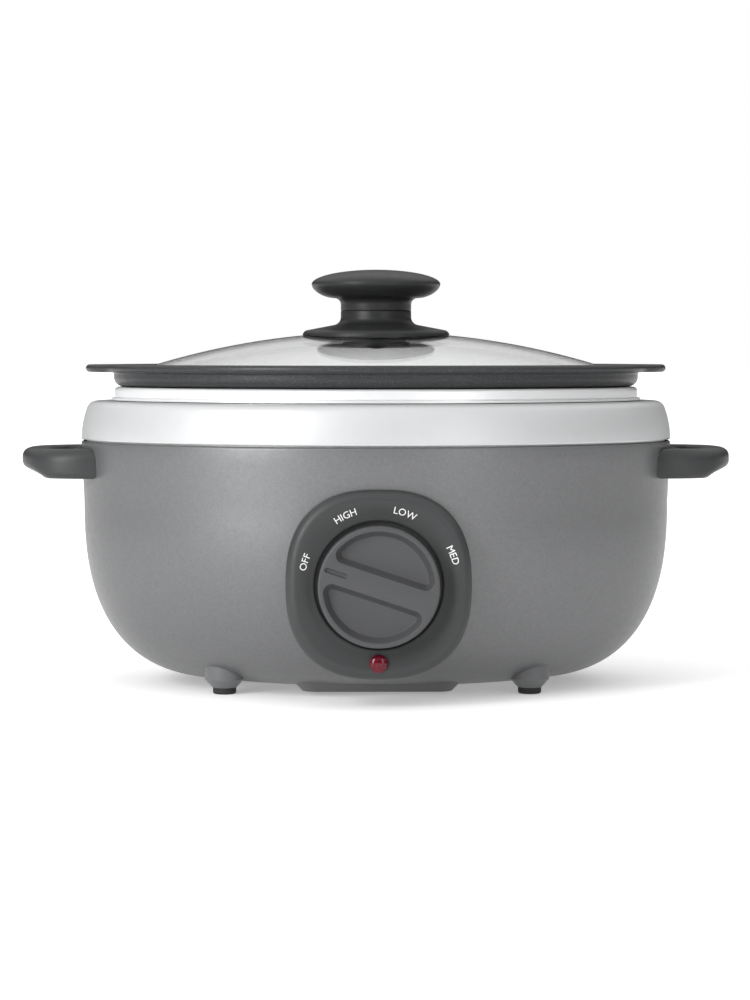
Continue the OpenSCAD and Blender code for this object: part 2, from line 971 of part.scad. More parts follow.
module bezel_screw_places() {
  for (sx = side_pair) {
    for (sz = side_pair) {
      z = dial_z + sz * boss_pitch;
      seat = oval_y(boss_pitch + 3.4, housing_u(z - 3.4) - housing_wall) - 0.1;
      forward(seat, sx * boss_pitch, z)
        children();
    }
  }
}

// A superelliptic block with a rounded front edge, between two distances forward
module bezel_block(inset, front, back, steps) {
  r = bezel_fillet - inset;
  forward(0)
    skin(concat(
      [bezel_ring(inset, back)],
      [
        for (i = [0 : steps])
          let (t = 90 * i / steps)
            bezel_ring(inset + r * (1 - cos(t)), front - r * (1 - sin(t)))
      ]
    ));
}
function bezel_ring(inset, f) = [
  for (p = superellipse(bezel_w / 2 - inset, bezel_h / 2 - inset, bezel_power))
    [p[0], p[1], f]
];

module control_bezel() {
  low_z = dial_z - bezel_h / 2;
  back = oval_y(bezel_w / 2, housing_u(low_z)) - 4;
  color("#4a4d50")
    difference() {
      union() {
        difference() {
          bezel_block(0, face_f, back, 4);
          bezel_block(bezel_wall, face_f - bezel_wall, back - 1, 2);
        }
        forward(panel_f)
          cylinder(r = recess_r + bezel_wall, h = recess_depth + 0.5);
        for (sx = side_pair) {
          for (sz = side_pair) {
            forward(back, sx * boss_pitch, dial_z + sz * boss_pitch)
              cylinder(r = 4, h = face_f - back - 1);
          }
        }
      }
      side_body(-1);
      forward(floor_f)
        cylinder(r = recess_r, h = 20);
      forward(panel_f - 1)
        cylinder(r = bush_r, h = 20);
      forward(face_f - 5, 0, lens_z)
        cylinder(r = lens_r - 0.7, h = 20);
      bezel_screw_places()
        cylinder(r = 1.8, h = screw_run);
    }
}
screw_run = 8;

module bezel_screws() {
  color("#8c9094")
    bezel_screw_places()
      pan_screw(1.8, screw_run, 3.4, 2.4);
}

lamp_length = 15;

module indicator_lens() {
  color("#a3202c") {
    forward(face_f, 0, lens_z)
      intersection() {
        translate([0, 0, -lens_r * 0.9])
          sphere(r = lens_r * 1.35);
        cylinder(r = lens_r, h = 4);
      }
    forward(face_f - bezel_wall, 0, lens_z)
      cylinder(r = lens_r - 0.7, h = bezel_wall);
  }
}

module neon_lamp() {
  color("#e8c9a0")
    forward(face_f - bezel_wall - lamp_length, 0, lens_z)
      cylinder(r = 3.2, h = lamp_length);
}

// ---- Dial ----

module control_dial() {
  hub_f = bush_f + 0.5;
  plate_t = 2.4;
  bar_slope = 2.2;
  color("#6b6e71")
    forward(0)
      difference() {
        union() {
          rotate_extrude()
            polygon(concat(
              [
                [0, pocket_f - plate_t],
                [dial_r - 2.4, pocket_f - plate_t],
                [dial_r - 2.4, dial_back_f],
                [dial_r, dial_back_f]
              ],
              arc([dial_r - 1.2, dial_f - 1.2], 1.2, 0, 90, 4),
              [
                [dial_r - 2.4, dial_f],
                [dial_r - 4.6, pocket_f],
                [0, pocket_f]
              ]
            ));
          translate([0, 0, hub_f])
            cylinder(r = 6.4, h = pocket_f - hub_f);
          intersection() {
            rotate([0, 0, off_angle])
              rotate([90, 0, 90])
                linear_extrude(2 * dial_r, center = true)
                  polygon([
                    [-bar_w / 2 - bar_slope, pocket_f], [bar_w / 2 + bar_slope, pocket_f],
                    [bar_w / 2, dial_f], [-bar_w / 2, dial_f]
                  ]);
            cylinder(r = dial_r - 2, h = far);
          }
        }
        shaft_profile(hub_f - 1, shaft_tip_f);
        dial_clip_shape();
        rotate([0, 0, off_angle])
          translate([dial_r - 14, -1.1, dial_f - 0.8])
            cube([11.8, 2.2, 1]);
      }
}
shaft_tip_f = dial_f - 2.5;
flat_depth = 0.8;

// Round shaft with a flat along its lower side, between two distances forward
module shaft_profile(from, to) {
  difference() {
    translate([0, 0, from])
      cylinder(r = shaft_r, h = to - from);
    translate([-shaft_r, -2 * shaft_r + flat_depth, from - 1])
      cube([2 * shaft_r, shaft_r, to - from + 2]);
  }
}

module dial_clip_shape() {
  translate([-1.8, -shaft_r + flat_depth - 0.7, bush_f + 1.5])
    cube([3.6, 0.7, shaft_tip_f - bush_f - 1.5]);
}

module dial_clip() {
  color("#b9bdc0")
    forward(0)
      dial_clip_shape();
}

module switch_shaft() {
  color("#b9bdc0")
    forward(0) {
      translate([0, 0, shaft_end_f])
        cylinder(r = shaft_r, h = bush_f - shaft_end_f);
      shaft_profile(bush_f - 0.01, shaft_tip_f);
    }
}

// ---- Cord gland ----

gland_body_r = 7;
gland_inner_f = half_d - 16;

module cord_gland() {
  color("#2b2c2e")
    difference() {
      union() {
        difference() {
          backward(gland_inner_f, 0, gland_z)
            rotate_extrude()
              polygon([
                [0, 0],
                [11, 0],
                [11, half_d + 1 - gland_inner_f],
                [9.5, half_d + 3 - gland_inner_f],
                [7.6, half_d + 3.5 - gland_inner_f],
                [6, half_d + gland_reach - 1 - gland_inner_f],
                [5.2, half_d + gland_reach - gland_inner_f],
                [0, half_d + gland_reach - gland_inner_f]
              ]);
          side_body(1);
        }
        backward(gland_inner_f, 0, gland_z)
          cylinder(r = gland_body_r, h = half_d - gland_inner_f);
      }
      backward(gland_inner_f - 1, 0, gland_z)
        cylinder(r = cord_hole_r, h = 60);
    }
}

module gland_nut() {
  nut_r = 10;
  seat = half_d + housing_u(gland_z - nut_r) - housing_wall - 0.1;
  color("#3a3b3d")
    backward(seat - 4, 0, gland_z)
      hex_nut(nut_r, gland_body_r, 4);
}

// ---- Handles ----

module handle_outline(x0, a, b, n, steps = 24) {
  translate([x0, 0])
    polygon([
      for (i = [0 : steps])
        let (t = -90 + 180 * i / steps)
          [a * pow(max(0, cos(t)), 2 / n), b * signed_pow(sin(t), 2 / n)]
    ]);
}

module handle(side) {
  root = half_w - 12;
  tip = half_w + handle_reach;
  back_plate = 3;
  hole_x = half_w + back_plate;
  low = handle_top - handle_h;
  color("#5a5d60")
    mirror([side < 0 ? 1 : 0, 0, 0])
      difference() {
        intersection() {
          translate([0, 0, low])
            linear_extrude(handle_h)
              difference() {
                handle_outline(root, tip - root, handle_half, 2.6);
                handle_outline(hole_x, tip - grip_t - hole_x, handle_half - leg_w, 3.4);
              }
          translate([0, far / 2, 0])
            rotate([90, 0, 0])
              linear_extrude(far)
                polygon(concat(
                  [[root - 1, low], [tip - grip_t, low]],
                  [[tip - 5, low + 2], [tip - 1.2, low + 4.6]],
                  [[tip, low + 7.4], [tip - 0.4, handle_top - 5.4]],
                  [[tip - 2.2, handle_top - 2.4], [tip - 5.8, handle_top - 0.7]],
                  [[tip - 11, handle_top], [root - 1, handle_top]]
                ));
        }
        end_body(1);
        for (s = side_pair) {
          outward(1, s * handle_screw_angle, handle_seat_r, handle_mid)
            cylinder(r = 1.9, h = handle_screw_l);
        }
      }
}

handle_seat_r = end_r + housing_u(handle_mid) - housing_wall - 0.2;
handle_screw_l = 10;

module handle_left() {
  handle(-1);
}

module handle_right() {
  handle(1);
}

module handle_screw_places() {
  for (side = side_pair) {
    for (s = side_pair) {
      outward(side, s * handle_screw_angle, handle_seat_r, handle_mid)
        children();
    }
  }
}

module handle_screws() {
  color("#8c9094")
    handle_screw_places()
      pan_screw(1.9, handle_screw_l, 3.8, 2.6);
}

// ---- Feet ----

spigot_r = 4;
clip_r = 7;
foot_u = oval_offset(foot_x, foot_y);
foot_clip_z = bowl_z(foot_u + clip_r, housing_wall) + 0.3;
stem_r = 3.2;
stem_h = 3;

module foot_socket(sx, sy) {
  color("#3a3b3d")
    translate([sx * foot_x, sy * foot_y, 0])
      difference() {
        union() {
          difference() {
            rotate_extrude()
              polygon([
                [0, pad_h],
                [pad_r + 0.25, pad_h],
                [socket_r, pad_h + 4.5],
                [socket_r, bowl_z(foot_u + socket_r) + 2],
                [0, bowl_z(foot_u + socket_r) + 2]
              ]);
            translate([-sx * foot_x, -sy * foot_y, 0])
              side_body(sy);
          }
          translate([0, 0, pad_h + 2])
            cylinder(r = spigot_r, h = foot_clip_z + 3 - pad_h - 2);
        }
        translate([0, 0, pad_h - 1])
          cylinder(r = stem_r, h = stem_h + 1);
      }
}

module foot_socket_front_left() {
  foot_socket(-1, -1);
}

module foot_socket_front_right() {
  foot_socket(1, -1);
}

module foot_socket_rear_left() {
  foot_socket(-1, 1);
}

module foot_socket_rear_right() {
  foot_socket(1, 1);
}

module foot_pad(sx, sy) {
  color("#1e1f20")
    translate([sx * foot_x, sy * foot_y, 0])
      rotate_extrude()
        polygon(concat(
          [[0, 0]],
          arc([pad_r - 1.2, 1.2], 1.2, 270, 360, 4),
          [[pad_r, pad_h], [stem_r, pad_h], [stem_r, pad_h + stem_h], [0, pad_h + stem_h]]
        ));
}

module foot_pad_front_left() {
  foot_pad(-1, -1);
}

module foot_pad_front_right() {
  foot_pad(1, -1);
}

module foot_pad_rear_left() {
  foot_pad(-1, 1);
}

module foot_pad_rear_right() {
  foot_pad(1, 1);
}

module foot_clips() {
  color("#9da1a4")
    at_feet()
      translate([0, 0, foot_clip_z])
        tube(clip_r, spigot_r, 0.8);
}

// ---- Cooking pot ----

module cooking_pot() {
  shoulder_fillet = 5;
  rim_round = rim_t / 2;
  wall_in = pot_out - pot_wall;
  low_in = pot_low - pot_wall;
  bend = [pot_low - pot_corner, pot_floor_z + pot_corner];
  step_z = shoulder_z + shoulder_h;
  color("#55585b")
    difference() {
      union() {
        oval_bowl(concat(
          arc(bend, pot_corner, -90, 0, 6),
          [[pot_out, shoulder_z]],
          arc([shoulder_u - shoulder_fillet, shoulder_z + shoulder_fillet], shoulder_fillet, -90, 0, 4),
          [[shoulder_u, step_z]],
          arc([rim_u - rim_round, step_z + rim_round], rim_round, -90, 90, 6),
          arc([recess_u + 1.5, rim_top - 1.5], 1.5, 90, 180, 3),
          [[recess_u, ledge_z], [wall_in, ledge_z]],
          arc([low_in - pot_corner + pot_wall, pot_floor_z + pot_corner], pot_corner - pot_wall, 0, -90, 6)
        ));
        for (s = side_pair) {
          translate([s * (half_w + rim_u + lug_reach - lug_r), 0, step_z])
            rotate_extrude()
              polygon(concat(
                [[0, 0]],
                arc([lug_r - 1, 1], 1, -90, 0, 3),
                arc([lug_r - 1, rim_t - 1], 1, 0, 90, 3),
                [[0, rim_t]]
              ));
        }
      }
      oval_plate(recess_u, ledge_z, ledge_z + 30);
    }
}

// ---- Lid ----

// Everything under the dome: its top is a barrel with dome_r along X and a tighter
// radius across, so that the oval edge comes out level
module dome_solid(inset, steps = 24) {
  reach = lid_half_w + 4;
  translate([0, 0, apex_z - dome_r_short])
    rotate([0, 90, 0])
      rotate_extrude($fn = 360)
        polygon(concat(
          [[0, -reach]],
          [
            for (i = [0 : steps])
              let (x = reach * (2 * i / steps - 1))
                [dome_r_short - dome_r + sqrt(pow(dome_r - inset, 2) - x * x), x]
          ],
          [[0, reach]]
        ));
}

module lid_glass() {
  color("#cfe0e4", 0.35)
    difference() {
      intersection() {
        dome_solid(0);
        oval_plate(lid_u, lid_z, apex_z + 1);
      }
      dome_solid(glass_t);
      translate([0, 0, apex_z - glass_t - 3])
        cylinder(r = lid_screw_r + 1.5, h = 10);
    }
}

module lid_seal() {
  color("#d7d8d8")
    difference() {
      intersection() {
        translate([0, 0, ferrule_z + ferrule_t])
          cylinder(r = 16.5, h = 4, $fn = 180);
        dome_solid(glass_t);
      }
      translate([0, 0, ferrule_z])
        cylinder(r = lid_screw_r, h = 10, $fn = 180);
    }
}

module lid_ferrule() {
  color("#8c9094")
    translate([0, 0, ferrule_z])
      difference() {
        cylinder(r = ferrule_r, h = ferrule_t);
        translate([0, 0, -1])
          cylinder(r = lid_screw_r, h = ferrule_t + 2);
      }
}

module lid_screw() {
  head_r = 6.5;
  head_h = 1.8;
  dome = (head_r * head_r + head_h * head_h) / (2 * head_h);
  color("#b9bdc0")
    translate([0, 0, ferrule_z]) {
      cylinder(r = lid_screw_r, h = lid_screw_top - ferrule_z);
      intersection() {
        translate([0, 0, dome - head_h])
          sphere(r = dome);
        translate([0, 0, -head_h])
          cylinder(r = head_r, h = head_h);
      }
    }
}
lid_screw_top = apex_z + knob_h - 13;

module lid_knob_base() {
  split_z = apex_z + split_h;
  nose_z = apex_z - 2.4;
  nose = 3.4;
  fillet = 4.5;
  fillet_z = apex_z + 3.7 + fillet;
  color("#4a4d50")
    difference() {
      rotate_extrude()
        polygon(concat(
          [[0, nose_z - 5], [flange_r - 1, nose_z - 5], [flange_r, nose_z - 4]],
          arc([flange_r - nose, nose_z], nose, 0, 75, 4),
          arc([neck_r + fillet, fillet_z], fillet, 258, 180, 4),
          [[neck_r, split_z], [0, split_z]]
        ));
      dome_solid(0);
      cylinder(r = lid_screw_r, h = far);
    }
}

module lid_knob_cap() {
  split_z = apex_z + split_h;
  top_z = apex_z + knob_h;
  crown = 8;
  under = 7.6;
  wide_z = top_z - crown;
  fillet = 3.6;
  throat = neck_r + fillet;
  color("#55585b")
    difference() {
      rotate_extrude()
        polygon(concat(
          [[0, split_z], [neck_r, split_z]],
          arc([throat, wide_z - under - fillet], fillet, 180, 90, 4),
          reversed(quarter([throat, wide_z], knob_r - throat, -under, 10, 84, 1.75, 8)),
          quarter([0, wide_z], knob_r, crown, 0, 90, 2, 14)
        ));
      cylinder(r = lid_screw_r, h = lid_screw_top);
    }
}

housing();
rim_band();
heating_well();
heater_band();
heater_terminals();
heater_clamp();
clamp_screw();
insulation_blanket();
reflector_plate();
reflector_spacer();
reflector_nut();
tie_stud();
base_nut();
base_cover();
thermal_fuse();
fuse_clip();
earth_screw();
terminal_block();
terminal_screws();
switch_case();
switch_bushing();
switch_tabs();
switch_nut();
control_bezel();
bezel_screws();
indicator_lens();
neon_lamp();
cord_gland();
gland_nut();
handle_left();
handle_right();
handle_screws();
foot_socket_front_left();
foot_socket_front_right();
foot_socket_rear_left();
foot_socket_rear_right();
foot_pad_front_left();
foot_pad_front_right();
foot_pad_rear_left();
foot_pad_rear_right();
foot_clips();
live_lead();
neutral_lead();
fuse_lead();
high_heat_lead();
low_heat_lead();
lamp_leads();
earth_lead();
control_dial();
dial_clip();
switch_shaft();
cooking_pot();
lid_glass();
lid_seal();
lid_ferrule();
lid_screw();
lid_knob_base();
lid_knob_cap();
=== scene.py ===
import json
import math

import bmesh
import bpy
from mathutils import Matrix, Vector


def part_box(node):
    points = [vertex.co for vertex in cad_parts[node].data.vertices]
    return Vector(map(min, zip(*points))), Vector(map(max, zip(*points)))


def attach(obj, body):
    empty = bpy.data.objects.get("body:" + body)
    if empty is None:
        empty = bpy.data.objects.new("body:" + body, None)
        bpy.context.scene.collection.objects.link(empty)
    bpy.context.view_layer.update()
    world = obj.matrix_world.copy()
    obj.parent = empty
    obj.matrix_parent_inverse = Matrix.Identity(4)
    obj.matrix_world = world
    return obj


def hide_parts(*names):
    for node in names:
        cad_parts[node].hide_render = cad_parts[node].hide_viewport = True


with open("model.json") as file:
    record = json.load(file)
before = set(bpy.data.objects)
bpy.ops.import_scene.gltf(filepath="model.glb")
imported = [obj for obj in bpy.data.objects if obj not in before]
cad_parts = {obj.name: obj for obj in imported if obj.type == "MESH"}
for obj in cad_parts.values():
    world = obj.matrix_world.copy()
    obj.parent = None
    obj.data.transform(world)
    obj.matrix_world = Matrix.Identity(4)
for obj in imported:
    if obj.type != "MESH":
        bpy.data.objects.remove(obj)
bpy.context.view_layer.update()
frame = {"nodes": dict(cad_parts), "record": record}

# Lengths below are in millimetres, in the frame of the CAD model: +Z up, front towards -Y. In
# names, U is an offset outward from the casing's oval, F a distance forward, Z a height and R a
# radius.
MM = 0.001


def box_mm(node):
    low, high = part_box(node)
    return low / MM, high / MM


# ---- The oval that every casing part follows: two end arcs and two side arcs, tangent ----

HALF_W = box_mm("rim_band")[1].x
HALF_D = box_mm("rim_band")[1].y
END_R = 98.0
END_C = HALF_W - END_R
SIDE_R = (HALF_D ** 2 + END_C ** 2 - END_R ** 2) / (2 * (HALF_D - END_R))
SIDE_C = SIDE_R - HALF_D
END_ANGLE = math.atan2(SIDE_C, END_C)
ANGLE_TOLERANCE = 1e-9
END_STEPS = 72
SIDE_STEPS = 84


def oval_directions():
    angles = []
    for turn in (0, math.pi):
        angles += [turn - END_ANGLE + 2 * END_ANGLE * i / END_STEPS for i in range(END_STEPS)]
        side = math.pi - 2 * END_ANGLE
        angles += [turn + END_ANGLE + side * i / SIDE_STEPS for i in range(SIDE_STEPS)]
    return angles


def on_end_arc(angle):
    return abs(math.sin(angle)) < math.sin(END_ANGLE) - ANGLE_TOLERANCE


def oval_point(angle, u):
    c, s = math.cos(angle), math.sin(angle)
    if on_end_arc(angle):
        return ((END_R + u) * c + math.copysign(END_C, c), (END_R + u) * s)
    return ((SIDE_R + u) * c, (SIDE_R + u) * s - math.copysign(SIDE_C, s))


def oval_depth(x, u):
    """Distance forward of the oval's front side at x, for an outline with the offset u."""
    return math.sqrt((SIDE_R + u) ** 2 - x * x) - SIDE_C


# ---- Curves ----

SIDE_SHARE = 0.49    # of a polygon's side, for the arc at either end of it
STRAIGHT = 1e-3      # a corner this near to 180 degrees (in radians) stays as it is


def arc(center, radius, start, end, steps):
    """Points on an arc, angles in degrees."""
    found = []
    for i in range(steps + 1):
        a = math.radians(start + (end - start) * i / steps)
        found.append((center[0] + radius * math.cos(a), center[1] + radius * math.sin(a)))
    return found


def signed_power(value, power):
    return math.copysign(abs(value) ** power, value)


def rounded(corners, steps):
    """Turns each (a, b, radius) corner of a polygon into an arc of steps + 1 points."""
    found = []
    count = len(corners)
    for i, (a, b, radius) in enumerate(corners):
        corner = Vector((a, b))
        before = Vector(corners[(i - 1) % count][:2]) - corner
        after = Vector(corners[(i + 1) % count][:2]) - corner
        room = SIDE_SHARE * min(before.length, after.length)
        before.normalize()
        after.normalize()
        turn = math.acos(max(-1, min(1, before.dot(after))))
        half = math.tan(turn / 2)
        if radius <= 0 or turn > math.pi - STRAIGHT:
            found += [(a, b)] * (steps + 1)
            continue
        run = min(radius / half, room)
        radius = run * half
        middle = (before + after).normalized()
        center = corner + middle * (radius / math.sin(turn / 2))
        first = corner + before * run - center
        sweep = math.pi - turn
        side = math.copysign(1, before.x * after.y - before.y * after.x)
        for k in range(steps + 1):
            angle = -side * sweep * k / steps
            c, s = math.cos(angle), math.sin(angle)
            found.append((
                center.x + first.x * c - first.y * s,
                center.y + first.x * s + first.y * c,
            ))
    return found


def smoothstep(value):
    value = max(0.0, min(1.0, value))
    return value * value * (3 - 2 * value)


# ---- Meshes ----

POLE_R = 1e-6    # a turned ring smaller than this is a single point


def metres(point):
    return [MM * v for v in point]


def skin(rings, closed=False):
    """A mesh over rings of points. A ring of one point is a pole, and other open ends get a flat
    cap. Closed joins the last ring to the first."""
    mesh = bmesh.new()
    rows = [[mesh.verts.new(metres(point)) for point in ring] for ring in rings]
    pairs = list(zip(rows, rows[1:]))
    if closed:
        pairs.append((rows[-1], rows[0]))
    for low, high in pairs:
        count = max(len(low), len(high))
        for k in range(count):
            n = (k + 1) % count
            if len(low) == 1:
                mesh.faces.new((low[0], high[n], high[k]))
            elif len(high) == 1:
                mesh.faces.new((low[k], low[n], high[0]))
            else:
                mesh.faces.new((low[k], low[n], high[n], high[k]))
    if not closed:
        for row in (rows[0], rows[-1]):
            if len(row) > 1:
                mesh.faces.new(row)
    return mesh


def mesh_data(mesh, name):
    data = bpy.data.meshes.new(name)
    mesh.to_mesh(data)
    mesh.free()
    return data


def finish_mesh(mesh, name, sharp):
    bmesh.ops.recalc_face_normals(mesh, faces=mesh.faces)
    data = mesh_data(mesh, name)
    data.shade_smooth()
    data.set_sharp_from_angle(angle=math.radians(sharp))
    return data


def add_object(name, data):
    thing = bpy.data.objects.new(name, data)
    bpy.context.scene.collection.objects.link(thing)
    return thing


def piece(mesh, name, body, slot, replaces=(), sharp=32, paint=None):
    """Makes an object of a bmesh. It rides on a body, has the slot's finish unless paint names
    another, and stands for CAD nodes. Edges sharper than sharp degrees stay hard."""
    thing = add_object(name, finish_mesh(mesh, name, sharp))
    thing.data.materials.append(finish(paint or slot))
    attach(thing, body)
    if replaces:
        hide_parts(*replaces)


def oval_rings(profile):
    directions = oval_directions()
    return [[(*oval_point(a, u), z) for a in directions] for u, z in profile]


def turned_rings(profile, steps):
    """Rings of a profile of (radius, height) points turned about Z; radius 0 makes a pole."""
    rings = []
    for radius, height in profile:
        if radius < POLE_R:
            rings.append([(0, 0, height)])
        else:
            rings.append([
                (radius * math.cos(a), radius * math.sin(a), height)
                for a in (2 * math.pi * i / steps for i in range(steps))
            ])
    return rings


def facing_front(point, z):
    """From (right, up from z, forward) to the frame."""
    return (point[0], -point[2], z + point[1])


# ---- Materials ----

NOISE_REACH = 0.25                     # most noise values are this near to 0.5
PATCH_SIZE = 4.0                       # of the patches where the roughness changes
ROUGH_VARY = 0.04
FLECK_CORE, FLECK_EDGE = 0.16, 0.30    # where a fleck starts to fade and ends, in its cell
FLECK_COLOR = (0.75, 0.75, 0.75)
COAT_ROUGH = 0.25


def set_inputs(node, values):
    for name, value in values.items():
        node.inputs[name].default_value = value


def object_place(tree):
    return tree.nodes.new("ShaderNodeTexCoord").outputs["Object"]


def new_material(name):
    """A material, its shader, its node tree and its object coordinates."""
    material = bpy.data.materials.new(name)
    material.use_nodes = True
    tree = material.node_tree
    return material, tree.nodes["Principled BSDF"], tree, object_place(tree)


def noise_node(tree, place, size_mm, detail=3.0, stretch=(1, 1, 1)):
    scale = tree.nodes.new("ShaderNodeMapping")
    scale.inputs["Scale"].default_value = stretch
    tree.links.new(place, scale.inputs["Vector"])
    noise = tree.nodes.new("ShaderNodeTexNoise")
    set_inputs(noise, {"Scale": 1.0 / (size_mm * MM), "Detail": detail})
    tree.links.new(scale.outputs["Vector"], noise.inputs["Vector"])
    return noise.outputs["Fac"]


def cell_node(tree, place, size_mm):
    cells = tree.nodes.new("ShaderNodeTexVoronoi")
    cells.inputs["Scale"].default_value = 1.0 / (size_mm * MM)
    tree.links.new(place, cells.inputs["Vector"])
    return cells.outputs["Distance"]


def ramp(tree, value, start, end, low, high):
    """Maps start..end to low..high, and holds both ends."""
    change = tree.nodes.new("ShaderNodeMapRange")
    set_inputs(change, {"From Min": start, "From Max": end, "To Min": low, "To Max": high})
    tree.links.new(value, change.inputs["Value"])
    return change.outputs["Result"]


def spread(tree, value, low, high):
    """Maps a noise value round 0.5 to a range."""
    return ramp(tree, value, 0.5 - NOISE_REACH, 0.5 + NOISE_REACH, low, high)


def feed(tree, value, socket):
    """Links a node's output to a socket, or sets a number or a colour on it."""
    if isinstance(value, bpy.types.NodeSocket):
        tree.links.new(value, socket)
    elif isinstance(value, tuple):
        socket.default_value = (*value, 1)
    else:
        socket.default_value = value


def mix_colors(tree, factor, first, second, blend="MIX"):
    mix = tree.nodes.new("ShaderNodeMix")
    mix.data_type = "RGBA"
    mix.blend_type = blend
    feed(tree, factor, mix.inputs["Factor"])
    feed(tree, first, mix.inputs["A"])
    feed(tree, second, mix.inputs["B"])
    return mix.outputs["Result"]


def shade(color, share):
    return tuple(min(1.0, c * share) for c in color)


def add_relief(tree, shader, height, depth_mm):
    bump = tree.nodes.new("ShaderNodeBump")
    set_inputs(bump, {"Strength": 1.0, "Distance": depth_mm * MM})
    tree.links.new(height, bump.inputs["Height"])
    tree.links.new(bump.outputs["Normal"], shader.inputs["Normal"])


def surface(name, color, rough, metal=0.0, grain=0.6, vary=0.06, mottle=0.0, mottle_size=9.0,
            relief=0.0, relief_size=0.5, fleck=0.0, fleck_size=0.5, stretch=(1, 1, 1), coat=0.0,
            sheen=0.0, specular=0.5):
    """An opaque finish: a colour with fine grain, broad mottling and light flecks, and a fine
    relief. Grain, relief and the sizes are in millimetres."""
    material, shader, tree, place = new_material(name)
    fine = noise_node(tree, place, grain, stretch=stretch)
    out = mix_colors(tree, spread(tree, fine, 0, 1), shade(color, 1 - vary), shade(color, 1 + vary))
    if mottle:
        broad = noise_node(tree, place, mottle_size, detail=2.0)
        band = mix_colors(tree, spread(tree, broad, 0, 1), (1 - mottle,) * 3, (1.0,) * 3)
        out = mix_colors(tree, 1, out, band, blend="MULTIPLY")
    if fleck:
        chosen = ramp(tree, cell_node(tree, place, fleck_size), FLECK_CORE, FLECK_EDGE, fleck, 0.0)
        out = mix_colors(tree, chosen, out, FLECK_COLOR)
    tree.links.new(out, shader.inputs["Base Color"])
    patch = noise_node(tree, place, PATCH_SIZE, detail=2.0, stretch=stretch)
    tree.links.new(
        spread(tree, patch, rough - ROUGH_VARY, rough + ROUGH_VARY), shader.inputs["Roughness"])
    set_inputs(shader, {
        "Metallic": metal,
        "Specular IOR Level": specular,
        "Coat Weight": coat,
        "Coat Roughness": COAT_ROUGH,
        "Sheen Weight": sheen,
    })
    if relief:
        add_relief(tree, shader, noise_node(tree, place, relief_size, stretch=stretch), relief)
    return material


SMEAR_SIZE = 22
SMEAR_ROUGH = 0.006
GLASS_COLORS = ((0.975, 0.98, 0.98), (0.99, 0.992, 0.992))
GLASS_IOR = 1.47


def clear_glass():
    """Clear glass whose surface has faint smears."""
    material, shader, tree, place = new_material("clear_glass")
    smear = noise_node(tree, place, SMEAR_SIZE, detail=2.0)
    tree.links.new(spread(tree, smear, 0.0, SMEAR_ROUGH), shader.inputs["Roughness"])
    tint = mix_colors(tree, spread(tree, smear, 0, 1), *GLASS_COLORS)
    tree.links.new(tint, shader.inputs["Base Color"])
    set_inputs(shader, {"Transmission Weight": 1.0, "IOR": GLASS_IOR})
    return material


LENS_CELL = 1.3
LENS_COLORS = ((0.045, 0.002, 0.006), (0.17, 0.006, 0.018))


def lens_red():
    """An opaque dark red with facet-like cells that are darker at their hearts."""
    material, shader, tree, place = new_material("lens_red")
    out = mix_colors(tree, cell_node(tree, place, LENS_CELL), *LENS_COLORS)
    tree.links.new(out, shader.inputs["Base Color"])
    set_inputs(shader, {"Roughness": 0.12, "Specular IOR Level": 0.35})
    return material


SLEEVE_COLOR = (0.74, 0.71, 0.60)
THREAD_GAP_SHADE = 0.72        # share of the colour that is left between threads: painted shade in the gaps
THREAD_TURN = 0.7         # in radians
THREAD_PITCH = 0.7
THREAD_RELIEF = 0.08
WAVE_SCALE = 0.31         # the wave texture's scale for a pitch of one unit


def glass_sleeve():
    """Glass-fibre sleeving: two crossing sets of fine threads, with painted shade in the gaps
    between them.
    """
    material, shader, tree, place = new_material("wire_glass_sleeve")
    waves = []
    for turn in (THREAD_TURN, -THREAD_TURN):
        tilt = tree.nodes.new("ShaderNodeMapping")
        tilt.inputs["Rotation"].default_value = (turn, turn, 0)
        tree.links.new(place, tilt.inputs["Vector"])
        wave = tree.nodes.new("ShaderNodeTexWave")
        wave.inputs["Scale"].default_value = WAVE_SCALE / (THREAD_PITCH * MM)
        tree.links.new(tilt.outputs["Vector"], wave.inputs["Vector"])
        waves.append(wave.outputs["Fac"])
    both = tree.nodes.new("ShaderNodeMath")
    both.operation = "MULTIPLY"
    for wave, socket in zip(waves, both.inputs):
        tree.links.new(wave, socket)
    threads = both.outputs["Value"]
    out = mix_colors(tree, threads, shade(SLEEVE_COLOR, THREAD_GAP_SHADE), SLEEVE_COLOR)
    tree.links.new(out, shader.inputs["Base Color"])
    add_relief(tree, shader, threads, THREAD_RELIEF)
    shader.inputs["Roughness"].default_value = 0.8
    return material


